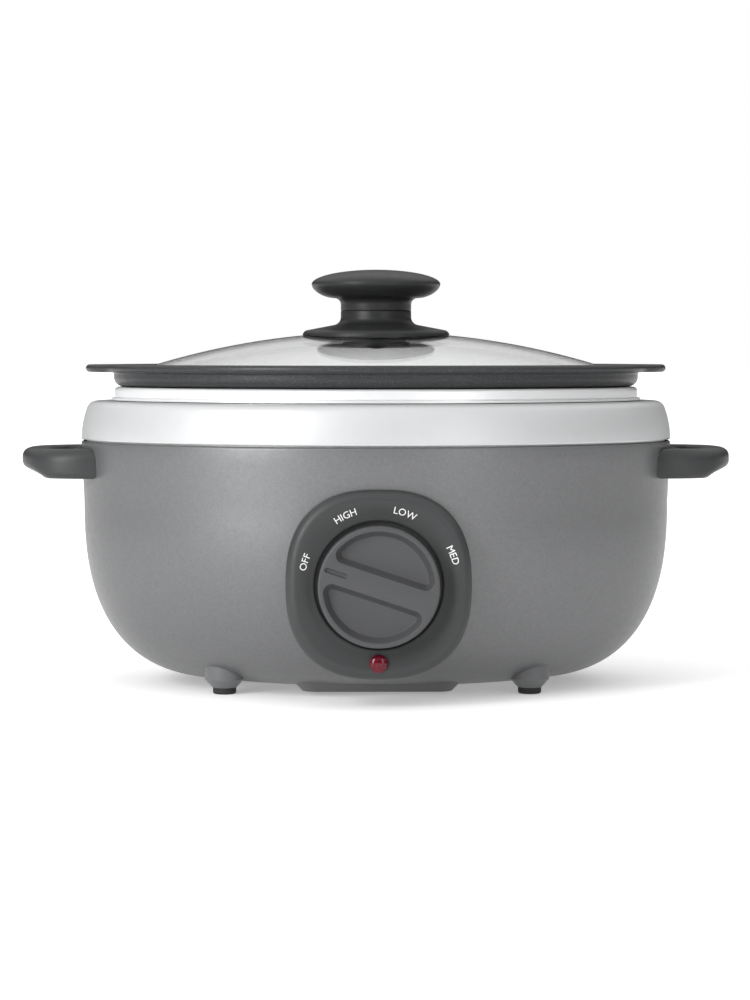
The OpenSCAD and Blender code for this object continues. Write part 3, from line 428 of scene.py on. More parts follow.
PLASTIC = dict(specular=0.3, rough=0.42, vary=0.05, grain=0.5, relief=0.012, relief_size=0.35)
WIRE = dict(rough=0.5, vary=0.05, grain=0.8, relief=0.01, relief_size=0.8)
STEEL = dict(rough=0.34, metal=1.0, vary=0.07, grain=0.25, stretch=(1, 1, 9), relief=0.004)
FINISHES = {
    "body_paint": dict(color=(0.162, 0.164, 0.167), rough=0.42, metal=0.5, specular=0.3, grain=0.55,
                       vary=0.16, mottle=0.06, mottle_size=2.6, relief=0.016, relief_size=0.6,
                       coat=0.15),
    "rim_silver": dict(color=(0.55, 0.555, 0.56), rough=0.45, metal=0.35, specular=0.3, grain=0.35,
                       vary=0.03, mottle=0.02, mottle_size=6, relief=0.004, relief_size=0.4),
    "well_aluminium": dict(color=(0.86, 0.865, 0.87), rough=0.36, metal=0.35, grain=0.5, vary=0.03,
                           stretch=(1, 1, 5), relief=0.004, relief_size=0.6),
    "pot_coating": dict(color=(0.042, 0.043, 0.045), rough=0.36, metal=0.2, specular=0.22,
                        grain=0.7, vary=0.12, mottle=0.06, relief=0.012, relief_size=0.7,
                        fleck=0.08, fleck_size=0.9),
    "bezel_plastic": dict(color=(0.042, 0.043, 0.044), **PLASTIC),
    "dial_plastic": dict(color=(0.066, 0.067, 0.069), **PLASTIC),
    "knob_plastic": dict(color=(0.022, 0.0225, 0.023), **PLASTIC),
    "handle_plastic": dict(color=(0.036, 0.037, 0.038), **PLASTIC),
    "foot_plastic": dict(color=(0.14, 0.142, 0.145), **PLASTIC),
    "cover_black": dict(color=(0.115, 0.116, 0.118), **PLASTIC),
    "nut_black": dict(color=(0.03, 0.03, 0.032), **PLASTIC),
    "switch_cream": dict(color=(0.78, 0.74, 0.64), **PLASTIC),
    "fuse_white": dict(color=(0.80, 0.78, 0.72), **PLASTIC),
    "gland_rubber": dict(color=(0.022, 0.022, 0.024), rough=0.7, grain=1.0, relief=0.03),
    "foot_rubber": dict(color=(0.018, 0.018, 0.019), rough=0.75, grain=1.0, relief=0.03),
    "seal_silicone": dict(color=(0.62, 0.62, 0.61), rough=0.55, grain=1.2, relief=0.01),
    "insulation_wool": dict(color=(0.80, 0.76, 0.64), rough=0.95, grain=1.4, vary=0.14,
                            stretch=(1, 1, 3), relief=0.5, relief_size=1.6, sheen=0.4),
    "zinc_steel": dict(color=(0.58, 0.59, 0.60), **STEEL),
    "heater_foil": dict(color=(0.66, 0.62, 0.55), **STEEL),
    "ferrule_black": dict(color=(0.02, 0.02, 0.021), **PLASTIC),
    "brass_contact": dict(color=(0.72, 0.52, 0.22), **STEEL),
    "lamp_glass": dict(color=(0.85, 0.50, 0.28), rough=0.12, grain=2.0, coat=0.6),
    "wire_brown": dict(color=(0.16, 0.06, 0.025), **WIRE),
    "wire_blue": dict(color=(0.03, 0.10, 0.32), **WIRE),
    "wire_red": dict(color=(0.42, 0.03, 0.02), **WIRE),
    "wire_amber": dict(color=(0.62, 0.30, 0.03), **WIRE),
    "wire_white": dict(color=(0.78, 0.77, 0.72), **WIRE),
    "wire_green_yellow": dict(color=(0.12, 0.36, 0.07), **WIRE),
    "label_white": dict(color=(0.82, 0.82, 0.82), rough=0.5, grain=0.5, vary=0.02),
}
SPECIAL_FINISHES = {
    "clear_glass": clear_glass,
    "lens_red": lens_red,
    "wire_glass_sleeve": glass_sleeve,
}
made = {}


def finish(slot):
    """The slot's material, made once."""
    if slot not in made:
        if slot in SPECIAL_FINISHES:
            made[slot] = SPECIAL_FINISHES[slot]()
        else:
            made[slot] = surface(slot, **FINISHES[slot])
    return made[slot]


node_slots = {part["node"]: part["material_slot"] for part in frame["record"]["subparts"]}
for node, thing in frame["nodes"].items():
    if not thing.material_slots:
        thing.data.materials.append(None)
    for place in thing.material_slots:
        place.material = finish(node_slots[node])


# ---- Casing ----

GROUND_GAP = box_mm("housing")[0].z
HOUSING_TOP = box_mm("housing")[1].z
BOWL_TOP = 100.0
BOWL_INSET = 76.0
DRAFT_INSET = 1.4
BOWL_POWER = 2.5
HOUSING_WALL = 1.2
EDGE_ROLL = 1.3
UPPER_HEIGHTS = (106, 112, 118, 124)


def housing_u(z):
    """The housing's outer offset at a height."""
    if z >= BOWL_TOP:
        return -DRAFT_INSET * (HOUSING_TOP - z) / (HOUSING_TOP - BOWL_TOP)
    drop = (BOWL_TOP - z) / (BOWL_TOP - GROUND_GAP)
    share = max(0.0, 1 - drop ** BOWL_POWER) ** (1 / BOWL_POWER)
    return -BOWL_INSET + (BOWL_INSET - DRAFT_INSET) * share


def body_front(x, z):
    """Distance forward of the housing's front surface."""
    return oval_depth(x, housing_u(z))


def bowl_curve(wall, steps):
    found = []
    for i in range(steps + 1):
        t = math.pi / 2 * i / steps
        across = abs(math.cos(t)) ** (2 / BOWL_POWER) if i < steps else 0.0
        up = abs(math.sin(t)) ** (2 / BOWL_POWER)
        found.append((
            -BOWL_INSET + (BOWL_INSET - DRAFT_INSET - wall) * across,
            GROUND_GAP + wall + (BOWL_TOP - GROUND_GAP - wall) * (1 - up),
        ))
    return found


casing_profile = (
    bowl_curve(0, steps=48)[::-1]
    + [(housing_u(z), z) for z in UPPER_HEIGHTS]
    + [(HOUSING_WALL * (c - 1), HOUSING_TOP + EDGE_ROLL * (s - 1))
       for c, s in arc((0, 0), 1, 0, 90, 6)]
    + bowl_curve(HOUSING_WALL, steps=30)
)
piece(skin(oval_rings(casing_profile)), "casing_shell", "base", "body_paint", ["housing"])

BAND_TOP = box_mm("rim_band")[1].z
BAND_H = 21.0
BAND_LOW = BAND_TOP - BAND_H
BAND_LEAN = 3.2
BAND_FILLET = 5.5
BAND_WALL = 2.0
BAND_EDGE = 0.8
BAND_STEPS = 14
BAND_LAP = 6.0         # of the band's inner step below the housing's top
BAND_FOOT_H = 7.0
SEAM_U = -2.9
SEAM_DROP = 0.6
SEAM_RISE = 0.3
SEAM_EDGE_DROP = 1.0
WELL_IN = -23.2
WELL_OUT = -22.0
WELL_CLEARANCE = 2.3
COLLAR_U = -18.3


def band_profile():
    lean = math.degrees(math.atan(2 * BAND_LEAN / (BAND_TOP - BAND_LOW - BAND_FILLET)))
    bend = (-BAND_LEAN - BAND_FILLET * math.cos(math.radians(lean)), BAND_TOP - BAND_FILLET)
    bend_z = bend[1] + BAND_FILLET * math.sin(math.radians(lean))
    outside = arc((-BAND_EDGE, BAND_LOW + BAND_EDGE), BAND_EDGE, -90, 0, 5)
    for i in range(1, BAND_STEPS):
        share = i / BAND_STEPS
        outside.append((-BAND_LEAN * share ** 2, BAND_LOW + share * (bend_z - BAND_LOW)))
    inner = -HOUSING_WALL - BAND_WALL
    flange = WELL_OUT + WELL_CLEARANCE
    lap_z = HOUSING_TOP - BAND_LAP
    return (
        outside
        + arc(bend, BAND_FILLET, lean, 90, 12)
        + [(flange, BAND_TOP), (flange, BAND_TOP - BAND_WALL)]
        + arc(bend, BAND_FILLET - BAND_WALL, 90, lean, 6)
        + [(inner, BAND_LOW + BAND_FOOT_H), (inner, lap_z),
           (housing_u(lap_z) - HOUSING_WALL, lap_z),
           (-HOUSING_WALL, HOUSING_TOP - SEAM_EDGE_DROP), (SEAM_U, HOUSING_TOP - SEAM_DROP),
           (SEAM_U, BAND_LOW + SEAM_RISE), (-HOUSING_WALL, BAND_LOW)]
    )


piece(skin(oval_rings(band_profile()), closed=True), "rim_band_skin", "base", "rim_silver",
      ["rim_band"])

COLLAR_TOP = box_mm("heating_well")[1].z
WELL_FLOOR = 54.0
WELL_CORNER = 20.0
WELL_WALL = 1.2
COLLAR_ROUND = 2.0
LIP_W = 1.8            # of the well's lip over the rim band
LIP_LOW = BAND_TOP + 0.5
LIP_TOP = BAND_TOP + 1.6
LIP_GROOVE = 0.9
LIP_GROOVE_TOP = BAND_TOP + 2.2
COLLAR_FOOT = BAND_TOP + 2.3


def well_profile():
    bend_z = WELL_FLOOR + WELL_CORNER
    round_z = COLLAR_TOP - COLLAR_ROUND
    low = (WELL_IN - WELL_CORNER, bend_z)
    inside = (WELL_IN + COLLAR_ROUND, round_z)
    outside = (COLLAR_U - COLLAR_ROUND, round_z)
    curl = COLLAR_ROUND - WELL_WALL
    lip = COLLAR_U + LIP_W
    groove = COLLAR_U - LIP_GROOVE
    return (
        arc(low, WELL_CORNER + WELL_WALL, -90, 0, 12)
        + arc(inside, curl, 180, 90, 4)
        + arc(outside, curl, 90, 0, 4)
        + [(COLLAR_U - WELL_WALL, LIP_LOW), (lip, LIP_LOW), (lip, LIP_TOP), (groove, LIP_TOP),
           (groove, LIP_GROOVE_TOP), (COLLAR_U, COLLAR_FOOT)]
        + arc(outside, COLLAR_ROUND, 0, 90, 7)
        + arc(inside, COLLAR_ROUND, 90, 180, 7)
        + arc(low, WELL_CORNER, 0, -90, 14)
    )


piece(skin(oval_rings(well_profile())), "well_liner", "base", "well_aluminium", ["heating_well"])


# ---- Cooking pot ----

SHOULDER_Z = COLLAR_TOP + 0.3
SHOULDER_U = -17.9
RIM_U = -12.3
RIM_TOP = box_mm("cooking_pot")[1].z
RIM_T = 4.2
POT_OUT = -25.0
POT_LOW = -27.0
POT_WALL = 4.0
POT_FLOOR = box_mm("cooking_pot")[0].z
POT_CORNER = 20.0
RECESS_U = -21.5
LEDGE_Z = 167.0
LUG_R = 27.0
LUG_CENTER = box_mm("cooking_pot")[1].x - LUG_R - END_C
LUG_BLEND = 3.5
LUG_FAR = 10.0         # a lug this far out of the rim loses nothing to the blend
SHOULDER_R = 5.0
RIM_UNDER_R = 1.2
RIM_INNER_R = 1.5
LEDGE_R = 0.6
POT_MOUTH_R = 1.2
WAIST_Z = 140
WAIST_OUT = 0.6
WAIST_IN = 0.8


def lug_reach(angle):
    """How far a lug stands out of the rim in a direction from an end's centre."""
    if not on_end_arc(angle):
        return 0.0
    s = math.sin(angle)
    inside = LUG_R ** 2 - (LUG_CENTER * s) ** 2
    if inside <= 0:
        return 0.0
    out = LUG_CENTER * abs(math.cos(angle)) + math.sqrt(inside) - (END_R + RIM_U)
    near = 0.5 * (math.sqrt(LUG_FAR ** 2 + LUG_BLEND ** 2) - LUG_FAR)
    return 0.5 * (out + math.sqrt(out * out + LUG_BLEND ** 2)) - near


def pot_profile():
    """Points of (offset, height, share of the lug's reach)."""
    step = RIM_TOP - RIM_T
    half = RIM_T / 2
    wall_in = POT_OUT - POT_WALL
    low_in = POT_LOW - POT_WALL
    bend = (POT_LOW - POT_CORNER, POT_FLOOR + POT_CORNER)
    plain = arc(bend, POT_CORNER, -90, 0, 14)
    plain += [(POT_OUT - WAIST_OUT, WAIST_Z), (POT_OUT, SHOULDER_Z)]
    plain += arc((SHOULDER_U - SHOULDER_R, SHOULDER_Z + SHOULDER_R), SHOULDER_R, -90, 0, 10)
    plain += arc((SHOULDER_U + RIM_UNDER_R, step - RIM_UNDER_R), RIM_UNDER_R, 180, 90, 5)
    points = [(u, z, 0.0) for u, z in plain]
    points += [(u, z, 1.0) for u, z in arc((RIM_U - half, step + half), half, -90, 90, 12)]
    inside = arc((RECESS_U + RIM_INNER_R, RIM_TOP - RIM_INNER_R), RIM_INNER_R, 90, 180, 6)
    inside += [(RECESS_U, LEDGE_Z + LEDGE_R)]
    inside += arc((RECESS_U - LEDGE_R, LEDGE_Z + LEDGE_R), LEDGE_R, 0, -90, 3)
    inside += arc((wall_in + POT_MOUTH_R, LEDGE_Z - POT_MOUTH_R), POT_MOUTH_R, 90, 180, 5)
    inside += [(wall_in - WAIST_IN, WAIST_Z)]
    inside += arc((low_in - POT_CORNER + POT_WALL, POT_FLOOR + POT_CORNER),
                  POT_CORNER - POT_WALL, 0, -90, 12)
    return points + [(u, z, 0.0) for u, z in inside]


def pot_rings():
    directions = oval_directions()
    rings = []
    for u, z, share in pot_profile():
        rings.append([(*oval_point(a, u + share * lug_reach(a)), z) for a in directions])
    return rings


piece(skin(pot_rings()), "pot_shell", "pot", "pot_coating", ["cooking_pot"])


# ---- Lid ----

LID_U = -22.8
LID_Z = box_mm("lid_glass")[0].z
APEX_Z = box_mm("lid_glass")[1].z
GLASS_T = 4.0
DOME_R = 420.0
LID_HALF_W = box_mm("lid_glass")[1].x
LID_HALF_D = box_mm("lid_glass")[1].y
END_DROP = DOME_R - math.sqrt(DOME_R ** 2 - LID_HALF_W ** 2)
DOME_R_SHORT = (LID_HALF_D ** 2 + END_DROP ** 2) / (2 * END_DROP)
HOLE_R = 4.0
GLASS_EDGE = 1.0       # width of the round at the glass's upper edge
GLASS_EDGE_DROP = 0.8
GLASS_LOW_EDGE = 0.4
GLASS_SEAT_W = 7.5


def dome_z(x, y, inset=0.0):
    """Height of the dome's top, or of its underside where inset is the glass's thickness."""
    r = DOME_R_SHORT - DOME_R + math.sqrt((DOME_R - inset) ** 2 - x * x)
    return APEX_Z - DOME_R_SHORT + math.sqrt(max(0.0, r * r - y * y))


def lid_ring(share, u, height):
    """A ring between the screw's hole (share 0) and the lid's edge (share 1)."""
    ring = []
    for a in oval_directions():
        x, y = oval_point(a, u)
        way = math.atan2(y, x)
        x = x * share + HOLE_R * math.cos(way) * (1 - share)
        y = y * share + HOLE_R * math.sin(way) * (1 - share)
        ring.append((x, y, height(x, y)))
    return ring


def underside_z(x, y):
    return max(LID_Z, dome_z(x, y, GLASS_T))


def lid_rings():
    steps = 26
    top_u = LID_U - GLASS_EDGE
    seat_u = LID_U - GLASS_SEAT_W
    rings = [lid_ring(i / steps, top_u, dome_z) for i in range(steps + 1)]
    for t in (25, 50, 75, 90):
        a = math.radians(t)
        drop = (1 - math.cos(a)) * GLASS_EDGE_DROP
        rings.append(lid_ring(
            1, top_u + GLASS_EDGE * math.sin(a), lambda x, y, d=drop: dome_z(x, y) - d))
    rings.append(lid_ring(1, LID_U, lambda x, y: LID_Z + GLASS_LOW_EDGE))
    rings.append(lid_ring(1, LID_U - GLASS_LOW_EDGE, lambda x, y: LID_Z))
    rings.append(lid_ring(1, seat_u, underside_z))
    rings += [lid_ring(1 - i / steps, seat_u, underside_z) for i in range(1, steps + 1)]
    return rings


piece(skin(lid_rings(), closed=True), "lid_dome", "lid", "clear_glass", ["lid_glass"], sharp=50)

SPLIT_Z = box_mm("lid_knob_base")[1].z
KNOB_TOP = box_mm("lid_knob_cap")[1].z
KNOB_R = box_mm("lid_knob_cap")[1].x
KNOB_STEPS = 144
NECK_R = 19.4
FLANGE_R = box_mm("lid_knob_base")[1].x
FLANGE_LOW = APEX_Z - 3.8
FLANGE_NOSE_Z = APEX_Z - 2.4
FLANGE_FILLET_Z = APEX_Z + 3.7
FLANGE_INNER = 4.0         # from the neck's radius to the end of the flat underside
SKIRT_REACH = 3.2
SKIRT_RADII = (14.0, 8.0)
FLANGE_CLEARANCE = 0.2
SKIRT_CLEARANCE = 0.02
NECK_EDGE = 0.5
SCREW_R = 2.5
SCREW_TOP = box_mm("lid_screw")[1].z


def quarter(center, a, b, start, end, power=2.0, steps=18):
    found = []
    for i in range(steps + 1):
        t = math.radians(start + (end - start) * i / steps)
        found.append((center[0] + a * signed_power(math.cos(t), 2 / power),
                      center[1] + b * signed_power(math.sin(t), 2 / power)))
    return found


def knob_base_profile():
    nose, lip, fillet = 3.4, 0.7, 4.5
    return (
        [(SCREW_R, SPLIT_Z), (NECK_R - NECK_EDGE, SPLIT_Z)]
        + arc((NECK_R - NECK_EDGE, SPLIT_Z - NECK_EDGE), NECK_EDGE, 90, 0, 4)
        + arc((NECK_R + fillet, FLANGE_FILLET_Z + fillet), fillet, 180, 258, 12)
        + arc((FLANGE_R - nose, FLANGE_NOSE_Z), nose, 75, 0, 12)
        + arc((FLANGE_R - lip, FLANGE_LOW + lip), lip, 0, -90, 4)
        + [(NECK_R + FLANGE_INNER, FLANGE_LOW)]
    )


def knob_base_rings():
    """The flange's edge stands off the glass, and its skirt follows the dome underneath."""
    rings = [
        [(x, y, max(z, dome_z(x, y) + FLANGE_CLEARANCE)) for x, y, z in ring]
        for ring in turned_rings(knob_base_profile(), KNOB_STEPS)
    ]
    for radius in (NECK_R + SKIRT_REACH, *SKIRT_RADII, SCREW_R):
        turned = turned_rings([(radius, 0)], KNOB_STEPS)[0]
        rings.append([(x, y, dome_z(x, y) + SKIRT_CLEARANCE) for x, y, _ in turned])
    return rings


piece(skin(knob_base_rings(), closed=True), "knob_base", "lid", "knob_plastic", ["lid_knob_base"])


def knob_cap_profile():
    crown, under, fillet = 8, 7.6, 3.6
    wide_z = KNOB_TOP - crown
    throat = NECK_R + fillet
    return (
        [(0, SCREW_TOP), (SCREW_R, SCREW_TOP), (SCREW_R, SPLIT_Z), (NECK_R - NECK_EDGE, SPLIT_Z)]
        + arc((NECK_R - NECK_EDGE, SPLIT_Z + NECK_EDGE), NECK_EDGE, -90, 0, 4)
        + arc((throat, wide_z - under - fillet), fillet, 180, 90, 8)
        + quarter((throat, wide_z), KNOB_R - throat, -under, 84, 8, power=1.75)
        + quarter((0, wide_z), KNOB_R, crown, 0, 90, steps=30)
    )


piece(skin(turned_rings(knob_cap_profile(), KNOB_STEPS)), "knob_cap", "lid", "knob_plastic",
      ["lid_knob_cap"])


# ---- Handles ----

HANDLE_TIP = box_mm("handle_right")[1].x
HANDLE_LOW = box_mm("handle_right")[0].z
HANDLE_TOP = box_mm("handle_right")[1].z
HANDLE_HALF = box_mm("handle_right")[1].y
HANDLE_ROOT = HALF_W - 12
HANDLE_POWER = 2.6
GRIP_T = 16.2
LEG_W = 15.0
SINK = 0.8
WINDOW_MID = HALF_W + 6
WINDOW_BACK = 3.0
WINDOW_POWER = 3.0
TIP_START = 176.0
TIP_RUN = HANDLE_TIP - 178.0

# The grip's section, at its root and at its tip
UNDERCUT = (2.5, 12.0)
UNDERCUT_RISE = (2.0, 6.4)
LOW_ROUND = (4.0, 15.0)
SIDE_ROUND = (3.2, 4.4)
TOP_ROUND = 8.0
INNER_LOW_ROUND = 2.6
INNER_TOP_ROUND = 3.2


def grip_outer(t):
    c, s = math.cos(t), math.sin(t)
    y = HANDLE_HALF * signed_power(s, 2 / HANDLE_POWER)
    if c > 0:
        return Vector((HANDLE_ROOT + (HANDLE_TIP - HANDLE_ROOT) * c ** (2 / HANDLE_POWER), y))
    return Vector((END_C + math.sqrt((END_R - SINK) ** 2 - y * y), y))


def grip_inner(t):
    c, s = math.cos(t), math.sin(t)
    reach = HANDLE_TIP - GRIP_T - WINDOW_MID
    y = (HANDLE_HALF - LEG_W) * signed_power(s, 2 / WINDOW_POWER)
    if c > 0:
        return Vector((WINDOW_MID + reach * c ** (2 / WINDOW_POWER), y))
    return Vector((WINDOW_MID - WINDOW_BACK * abs(c) ** (2 / WINDOW_POWER), y))


def between(ends, share):
    return ends[0] + (ends[1] - ends[0]) * share


def grip_section(t):
    outer, inner = grip_outer(t), grip_inner(t)
    width = (outer - inner).length
    tip = smoothstep((outer.x - TIP_START) / TIP_RUN)
    cut, rise = between(UNDERCUT, tip), between(UNDERCUT_RISE, tip)
    corners = [
        (0, HANDLE_LOW, INNER_LOW_ROUND),
        (width - cut, HANDLE_LOW, between(LOW_ROUND, tip)),
        (width, HANDLE_LOW + rise, between(SIDE_ROUND, tip)),
        (width, HANDLE_TOP, TOP_ROUND),
        (0, HANDLE_TOP, INNER_TOP_ROUND),
    ]
    way = (outer - inner) / width
    return [(inner.x + way.x * s, inner.y + way.y * s, z) for s, z in rounded(corners, 7)]


def grip(side, name, node):
    steps = 168
    rings = []
    for i in range(steps):
        section = grip_section(2 * math.pi * (i + 0.5) / steps)
        rings.append([(side * x, y, z) for x, y, z in section])
    piece(skin(rings, closed=True), name, "base", "handle_plastic", [node], sharp=40)


grip(1, "grip_right", "handle_right")
grip(-1, "grip_left", "handle_left")


# ---- Control panel ----

DIAL_Z = (box_mm("control_dial")[0].z + box_mm("control_dial")[1].z) / 2
FACE_F = -box_mm("control_bezel")[0].y
BEZEL_A = box_mm("control_bezel")[1].x
BEZEL_B = (box_mm("control_bezel")[1].z - box_mm("control_bezel")[0].z) / 2
BEZEL_POWER = 2.5
BEZEL_FILLET = 5.5
BEZEL_WALL = 2.4
DIAL_R = box_mm("control_dial")[1].x
DIAL_F = -box_mm("control_dial")[0].y
DIAL_BACK = -box_mm("control_dial")[1].y
RECESS_R = DIAL_R + 1.8
FLOOR_F = FACE_F - 3.0
MOAT_F = FLOOR_F - 1.7
MOAT_R = DIAL_R - 1.4
SHAFT_HOLE_R = 4.6
BEZEL_SINK = 1.0
BEZEL_LIP = 0.8
BACK_INSET = 1.0
DISH = 2.0
DISH_POWER = 1.4
FACE_STEPS = 14
BEZEL_STEPS = 192


def bezel_reach(angle, inset):
    """Polar radius of the bezel's outline, drawn in by inset."""
    c = abs(math.cos(angle)) / (BEZEL_A - inset)
    s = abs(math.sin(angle)) / (BEZEL_B - inset)
    return (c ** BEZEL_POWER + s ** BEZEL_POWER) ** (-1 / BEZEL_POWER)


def face_height(angle, radius):
    """Distance forward of the dished face at a place given from the dial's centre."""
    outer = bezel_reach(angle, BEZEL_FILLET)
    share = max(0.0, min(1.0, (outer - radius) / (outer - RECESS_R)))
    return FACE_F - DISH * math.sin(share * math.pi / 2) ** DISH_POWER


def bezel_rings():
    angles = [2 * math.pi * i / BEZEL_STEPS for i in range(BEZEL_STEPS)]

    def ring(radius, forward):
        found = []
        for a in angles:
            r = radius(a)
            x, up = r * math.cos(a), r * math.sin(a)
            found.append(facing_front((x, up, forward(a, r, x, up)), z=DIAL_Z))
        return found

    def body_at(a, r, x, up):
        return body_front(x, DIAL_Z + up) - BEZEL_SINK

    rings = [ring(lambda a: bezel_reach(a, BEZEL_WALL), body_at),
             ring(lambda a: bezel_reach(a, 0), body_at)]
    for t in range(0, 91, 10):
        turn = math.radians(t)
        inset = BEZEL_FILLET * (1 - math.cos(turn))
        drop = BEZEL_FILLET * (1 - math.sin(turn))
        rings.append(ring(
            lambda a, i=inset: bezel_reach(a, i),
            lambda a, r, x, up, d=drop: FACE_F - d))
    lip = RECESS_R + BEZEL_LIP
    for i in range(1, FACE_STEPS + 1):
        share = i / FACE_STEPS
        rings.append(ring(
            lambda a, s=share: bezel_reach(a, BEZEL_FILLET) * (1 - s) + lip * s,
            lambda a, r, x, up: face_height(a, r)))
    low_lip = FACE_F - DISH
    for t in (30, 60, 90):
        turn = math.radians(t)
        rings.append(ring(
            lambda a, t=turn: lip - BEZEL_LIP * math.sin(t),
            lambda a, r, x, up, t=turn: low_lip - BEZEL_LIP * (1 - math.cos(t))))
    floor_back = FLOOR_F - BEZEL_WALL
    for radius, forward in ((RECESS_R, MOAT_F), (MOAT_R, MOAT_F), (MOAT_R, FLOOR_F),
                            (SHAFT_HOLE_R, FLOOR_F), (SHAFT_HOLE_R, floor_back),
                            (RECESS_R + BEZEL_WALL, floor_back)):
        rings.append(ring(lambda a, r=radius: r, lambda a, r, x, up, f=forward: f))
    rings.append(ring(lambda a: bezel_reach(a, BEZEL_FILLET + BACK_INSET),
                      lambda a, r, x, up: FACE_F - DISH - BEZEL_WALL))
    return rings


piece(skin(bezel_rings(), closed=True), "bezel_shell", "base", "bezel_plastic", ["control_bezel"])

LENS_R = 4.7
LENS_STEM_R = LENS_R - 0.7
LENS_BACK = FACE_F - 2.6
LENS_SINK = 0.6
LENS_RIM_H = 1.2
LENS_STEPS = 10
LENS_Z = (box_mm("indicator_lens")[0].z + box_mm("indicator_lens")[1].z) / 2
LENS_FRONT = -box_mm("indicator_lens")[0].y


def lens_rings():
    seat = face_height(-math.pi / 2, DIAL_Z - LENS_Z) - LENS_SINK
    rim = seat + LENS_RIM_H
    profile = [(0, LENS_BACK), (LENS_STEM_R, LENS_BACK), (LENS_STEM_R, seat), (LENS_R, seat),
               (LENS_R, rim)]
    for i in range(1, LENS_STEPS):
        t = math.pi / 2 * i / LENS_STEPS
        profile.append((LENS_R * math.cos(t), rim + (LENS_FRONT - rim) * math.sin(t)))
    profile.append((0, LENS_FRONT))
    rings = turned_rings(profile, steps=64)
    return [[facing_front(p, z=LENS_Z) for p in ring] for ring in rings]


piece(skin(lens_rings()), "lens_dome", "base", "lens_red", ["indicator_lens"])


# ---- Dial ----

OFF_ANGLE = math.radians(161.5)
BAR_HALF = 5.75
POCKET_DEPTH = 5.0
POCKET_R = DIAL_R - 2.7
POCKET_CORNER = 4.4
POCKET_LIP, POCKET_FOOT, POCKET_SLOPE = 0.5, 0.9, 2.2
CHORD_STEPS = 12
DIAL_STEPS = 144
GROOVE = (DIAL_R - 14.0, DIAL_R - 2.2)
GROOVE_HALF = 1.1
GROOVE_SECTION = ((-0.25, 0), (0.0, 0.25), (0.15, 1.3), (0.4, 1.5))    # inset, depth
EDGE_R = 1.2
BACK_EDGE = (0.4, 0.5)                                                 # inset, height
SKIRT_IN = DIAL_R - 2.4
PLATE_BACK = DIAL_F - POCKET_DEPTH - 2.4


def pocket_outline(inset, side):
    """A D-shaped pocket beside the grip bar, drawn in by inset."""
    chord = BAR_HALF + inset
    corner = POCKET_CORNER - inset
    y = BAR_HALF + POCKET_CORNER
    x = math.sqrt((POCKET_R - POCKET_CORNER) ** 2 - y * y)
    start = math.degrees(math.atan2(y, x))
    points = arc((0, 0), POCKET_R - inset, start, 180 - start, 40)
    points += arc((-x, y), corner, 180 - start, 270, 9)[1:]
    points += [(x * (2 * i / CHORD_STEPS - 1), chord) for i in range(1, CHORD_STEPS)]
    points += arc((x, y), corner, 270, 360 + start, 9)[:-1]
    return [(px * side, py * side) for px, py in points]


def groove_outline(inset):
    r = GROOVE_HALF - inset
    near, far = GROOVE
    return (arc((far - GROOVE_HALF, 0), r, -90, 90, 8)
            + arc((near + GROOVE_HALF, 0), r, 90, 270, 8))


def circle(radius):
    turns = [2 * math.pi * i / DIAL_STEPS for i in range(DIAL_STEPS)]
    return [(radius * math.cos(a), radius * math.sin(a)) for a in turns]


def dial_mesh():
    mesh = bmesh.new()
    c, s = math.cos(OFF_ANGLE), math.sin(OFF_ANGLE)
    edges = []

    def add(outline, depth):
        turned = [(x * c - y * s, x * s + y * c, DIAL_F - depth) for x, y in outline]
        return [mesh.verts.new(metres(facing_front(point, z=DIAL_Z))) for point in turned]

    def close(rows):
        """Joins rows of points, caps the last and keeps the first's edges for the front face."""
        count = len(rows[0])
        for first, second in zip(rows, rows[1:]):
            for k in range(count):
                n = (k + 1) % count
                mesh.faces.new((first[k], first[n], second[n], second[k]))
        mesh.faces.new(rows[-1])
        for k in range(count):
            edges.append(mesh.edges.get((rows[0][k], rows[0][(k + 1) % count])))

    # the side, from the front face's edge to the back
    side = arc((DIAL_R - EDGE_R, DIAL_F - EDGE_R), EDGE_R, 90, 0, 7)
    side += [(DIAL_R, DIAL_BACK + BACK_EDGE[1]), (DIAL_R - BACK_EDGE[0], DIAL_BACK),
             (SKIRT_IN, DIAL_BACK), (SKIRT_IN, PLATE_BACK)]
    close([add(circle(radius), DIAL_F - forward) for radius, forward in side])
    # the two pockets beside the grip bar
    for way in (1, -1):
        rows = []
        for t in (0, 22, 45, 68, 90):
            a = math.radians(t)
            rows.append(add(
                pocket_outline(-POCKET_LIP + POCKET_LIP * math.sin(a), way),
                POCKET_LIP * (1 - math.cos(a))))
        for t in (0, 30, 60, 90):
            a = math.radians(t)
            rows.append(add(
                pocket_outline(POCKET_SLOPE + POCKET_FOOT * (1 - math.cos(a)), way),
                POCKET_DEPTH - POCKET_FOOT + POCKET_FOOT * math.sin(a)))
        close(rows)
    # the pointer groove
    close([add(groove_outline(inset), depth) for inset, depth in GROOVE_SECTION])
    bmesh.ops.triangle_fill(mesh, use_beauty=True, use_dissolve=False, edges=edges)
    return mesh


piece(dial_mesh(), "dial_front", "dial", "dial_plastic", ["control_dial"], sharp=40)


# ---- Words round the dial ----

CAP_HEIGHT = 3.5
LETTER_FRONT = 0.12
LETTER_BACK = -0.3
WORDS = (
    # word, direction in degrees, radius of its middle, gap between letters
    ("OFF", 162.2, 39.6, 0.6),
    ("HIGH", 115.5, 39.6, 0.7),
    ("LOW", 69.9, 39.4, 0.35),
    ("MED", 22.3, 41.0, 0.6),
)


def font_object(text):
    """Text as an object, at the font's own size."""
    curve = bpy.data.curves.new("letter", "FONT")
    curve.body = text
    curve.size = 1.0
    curve.resolution_u = 3
    holder = add_object("letter", curve)
    bpy.context.view_layer.update()
    return holder


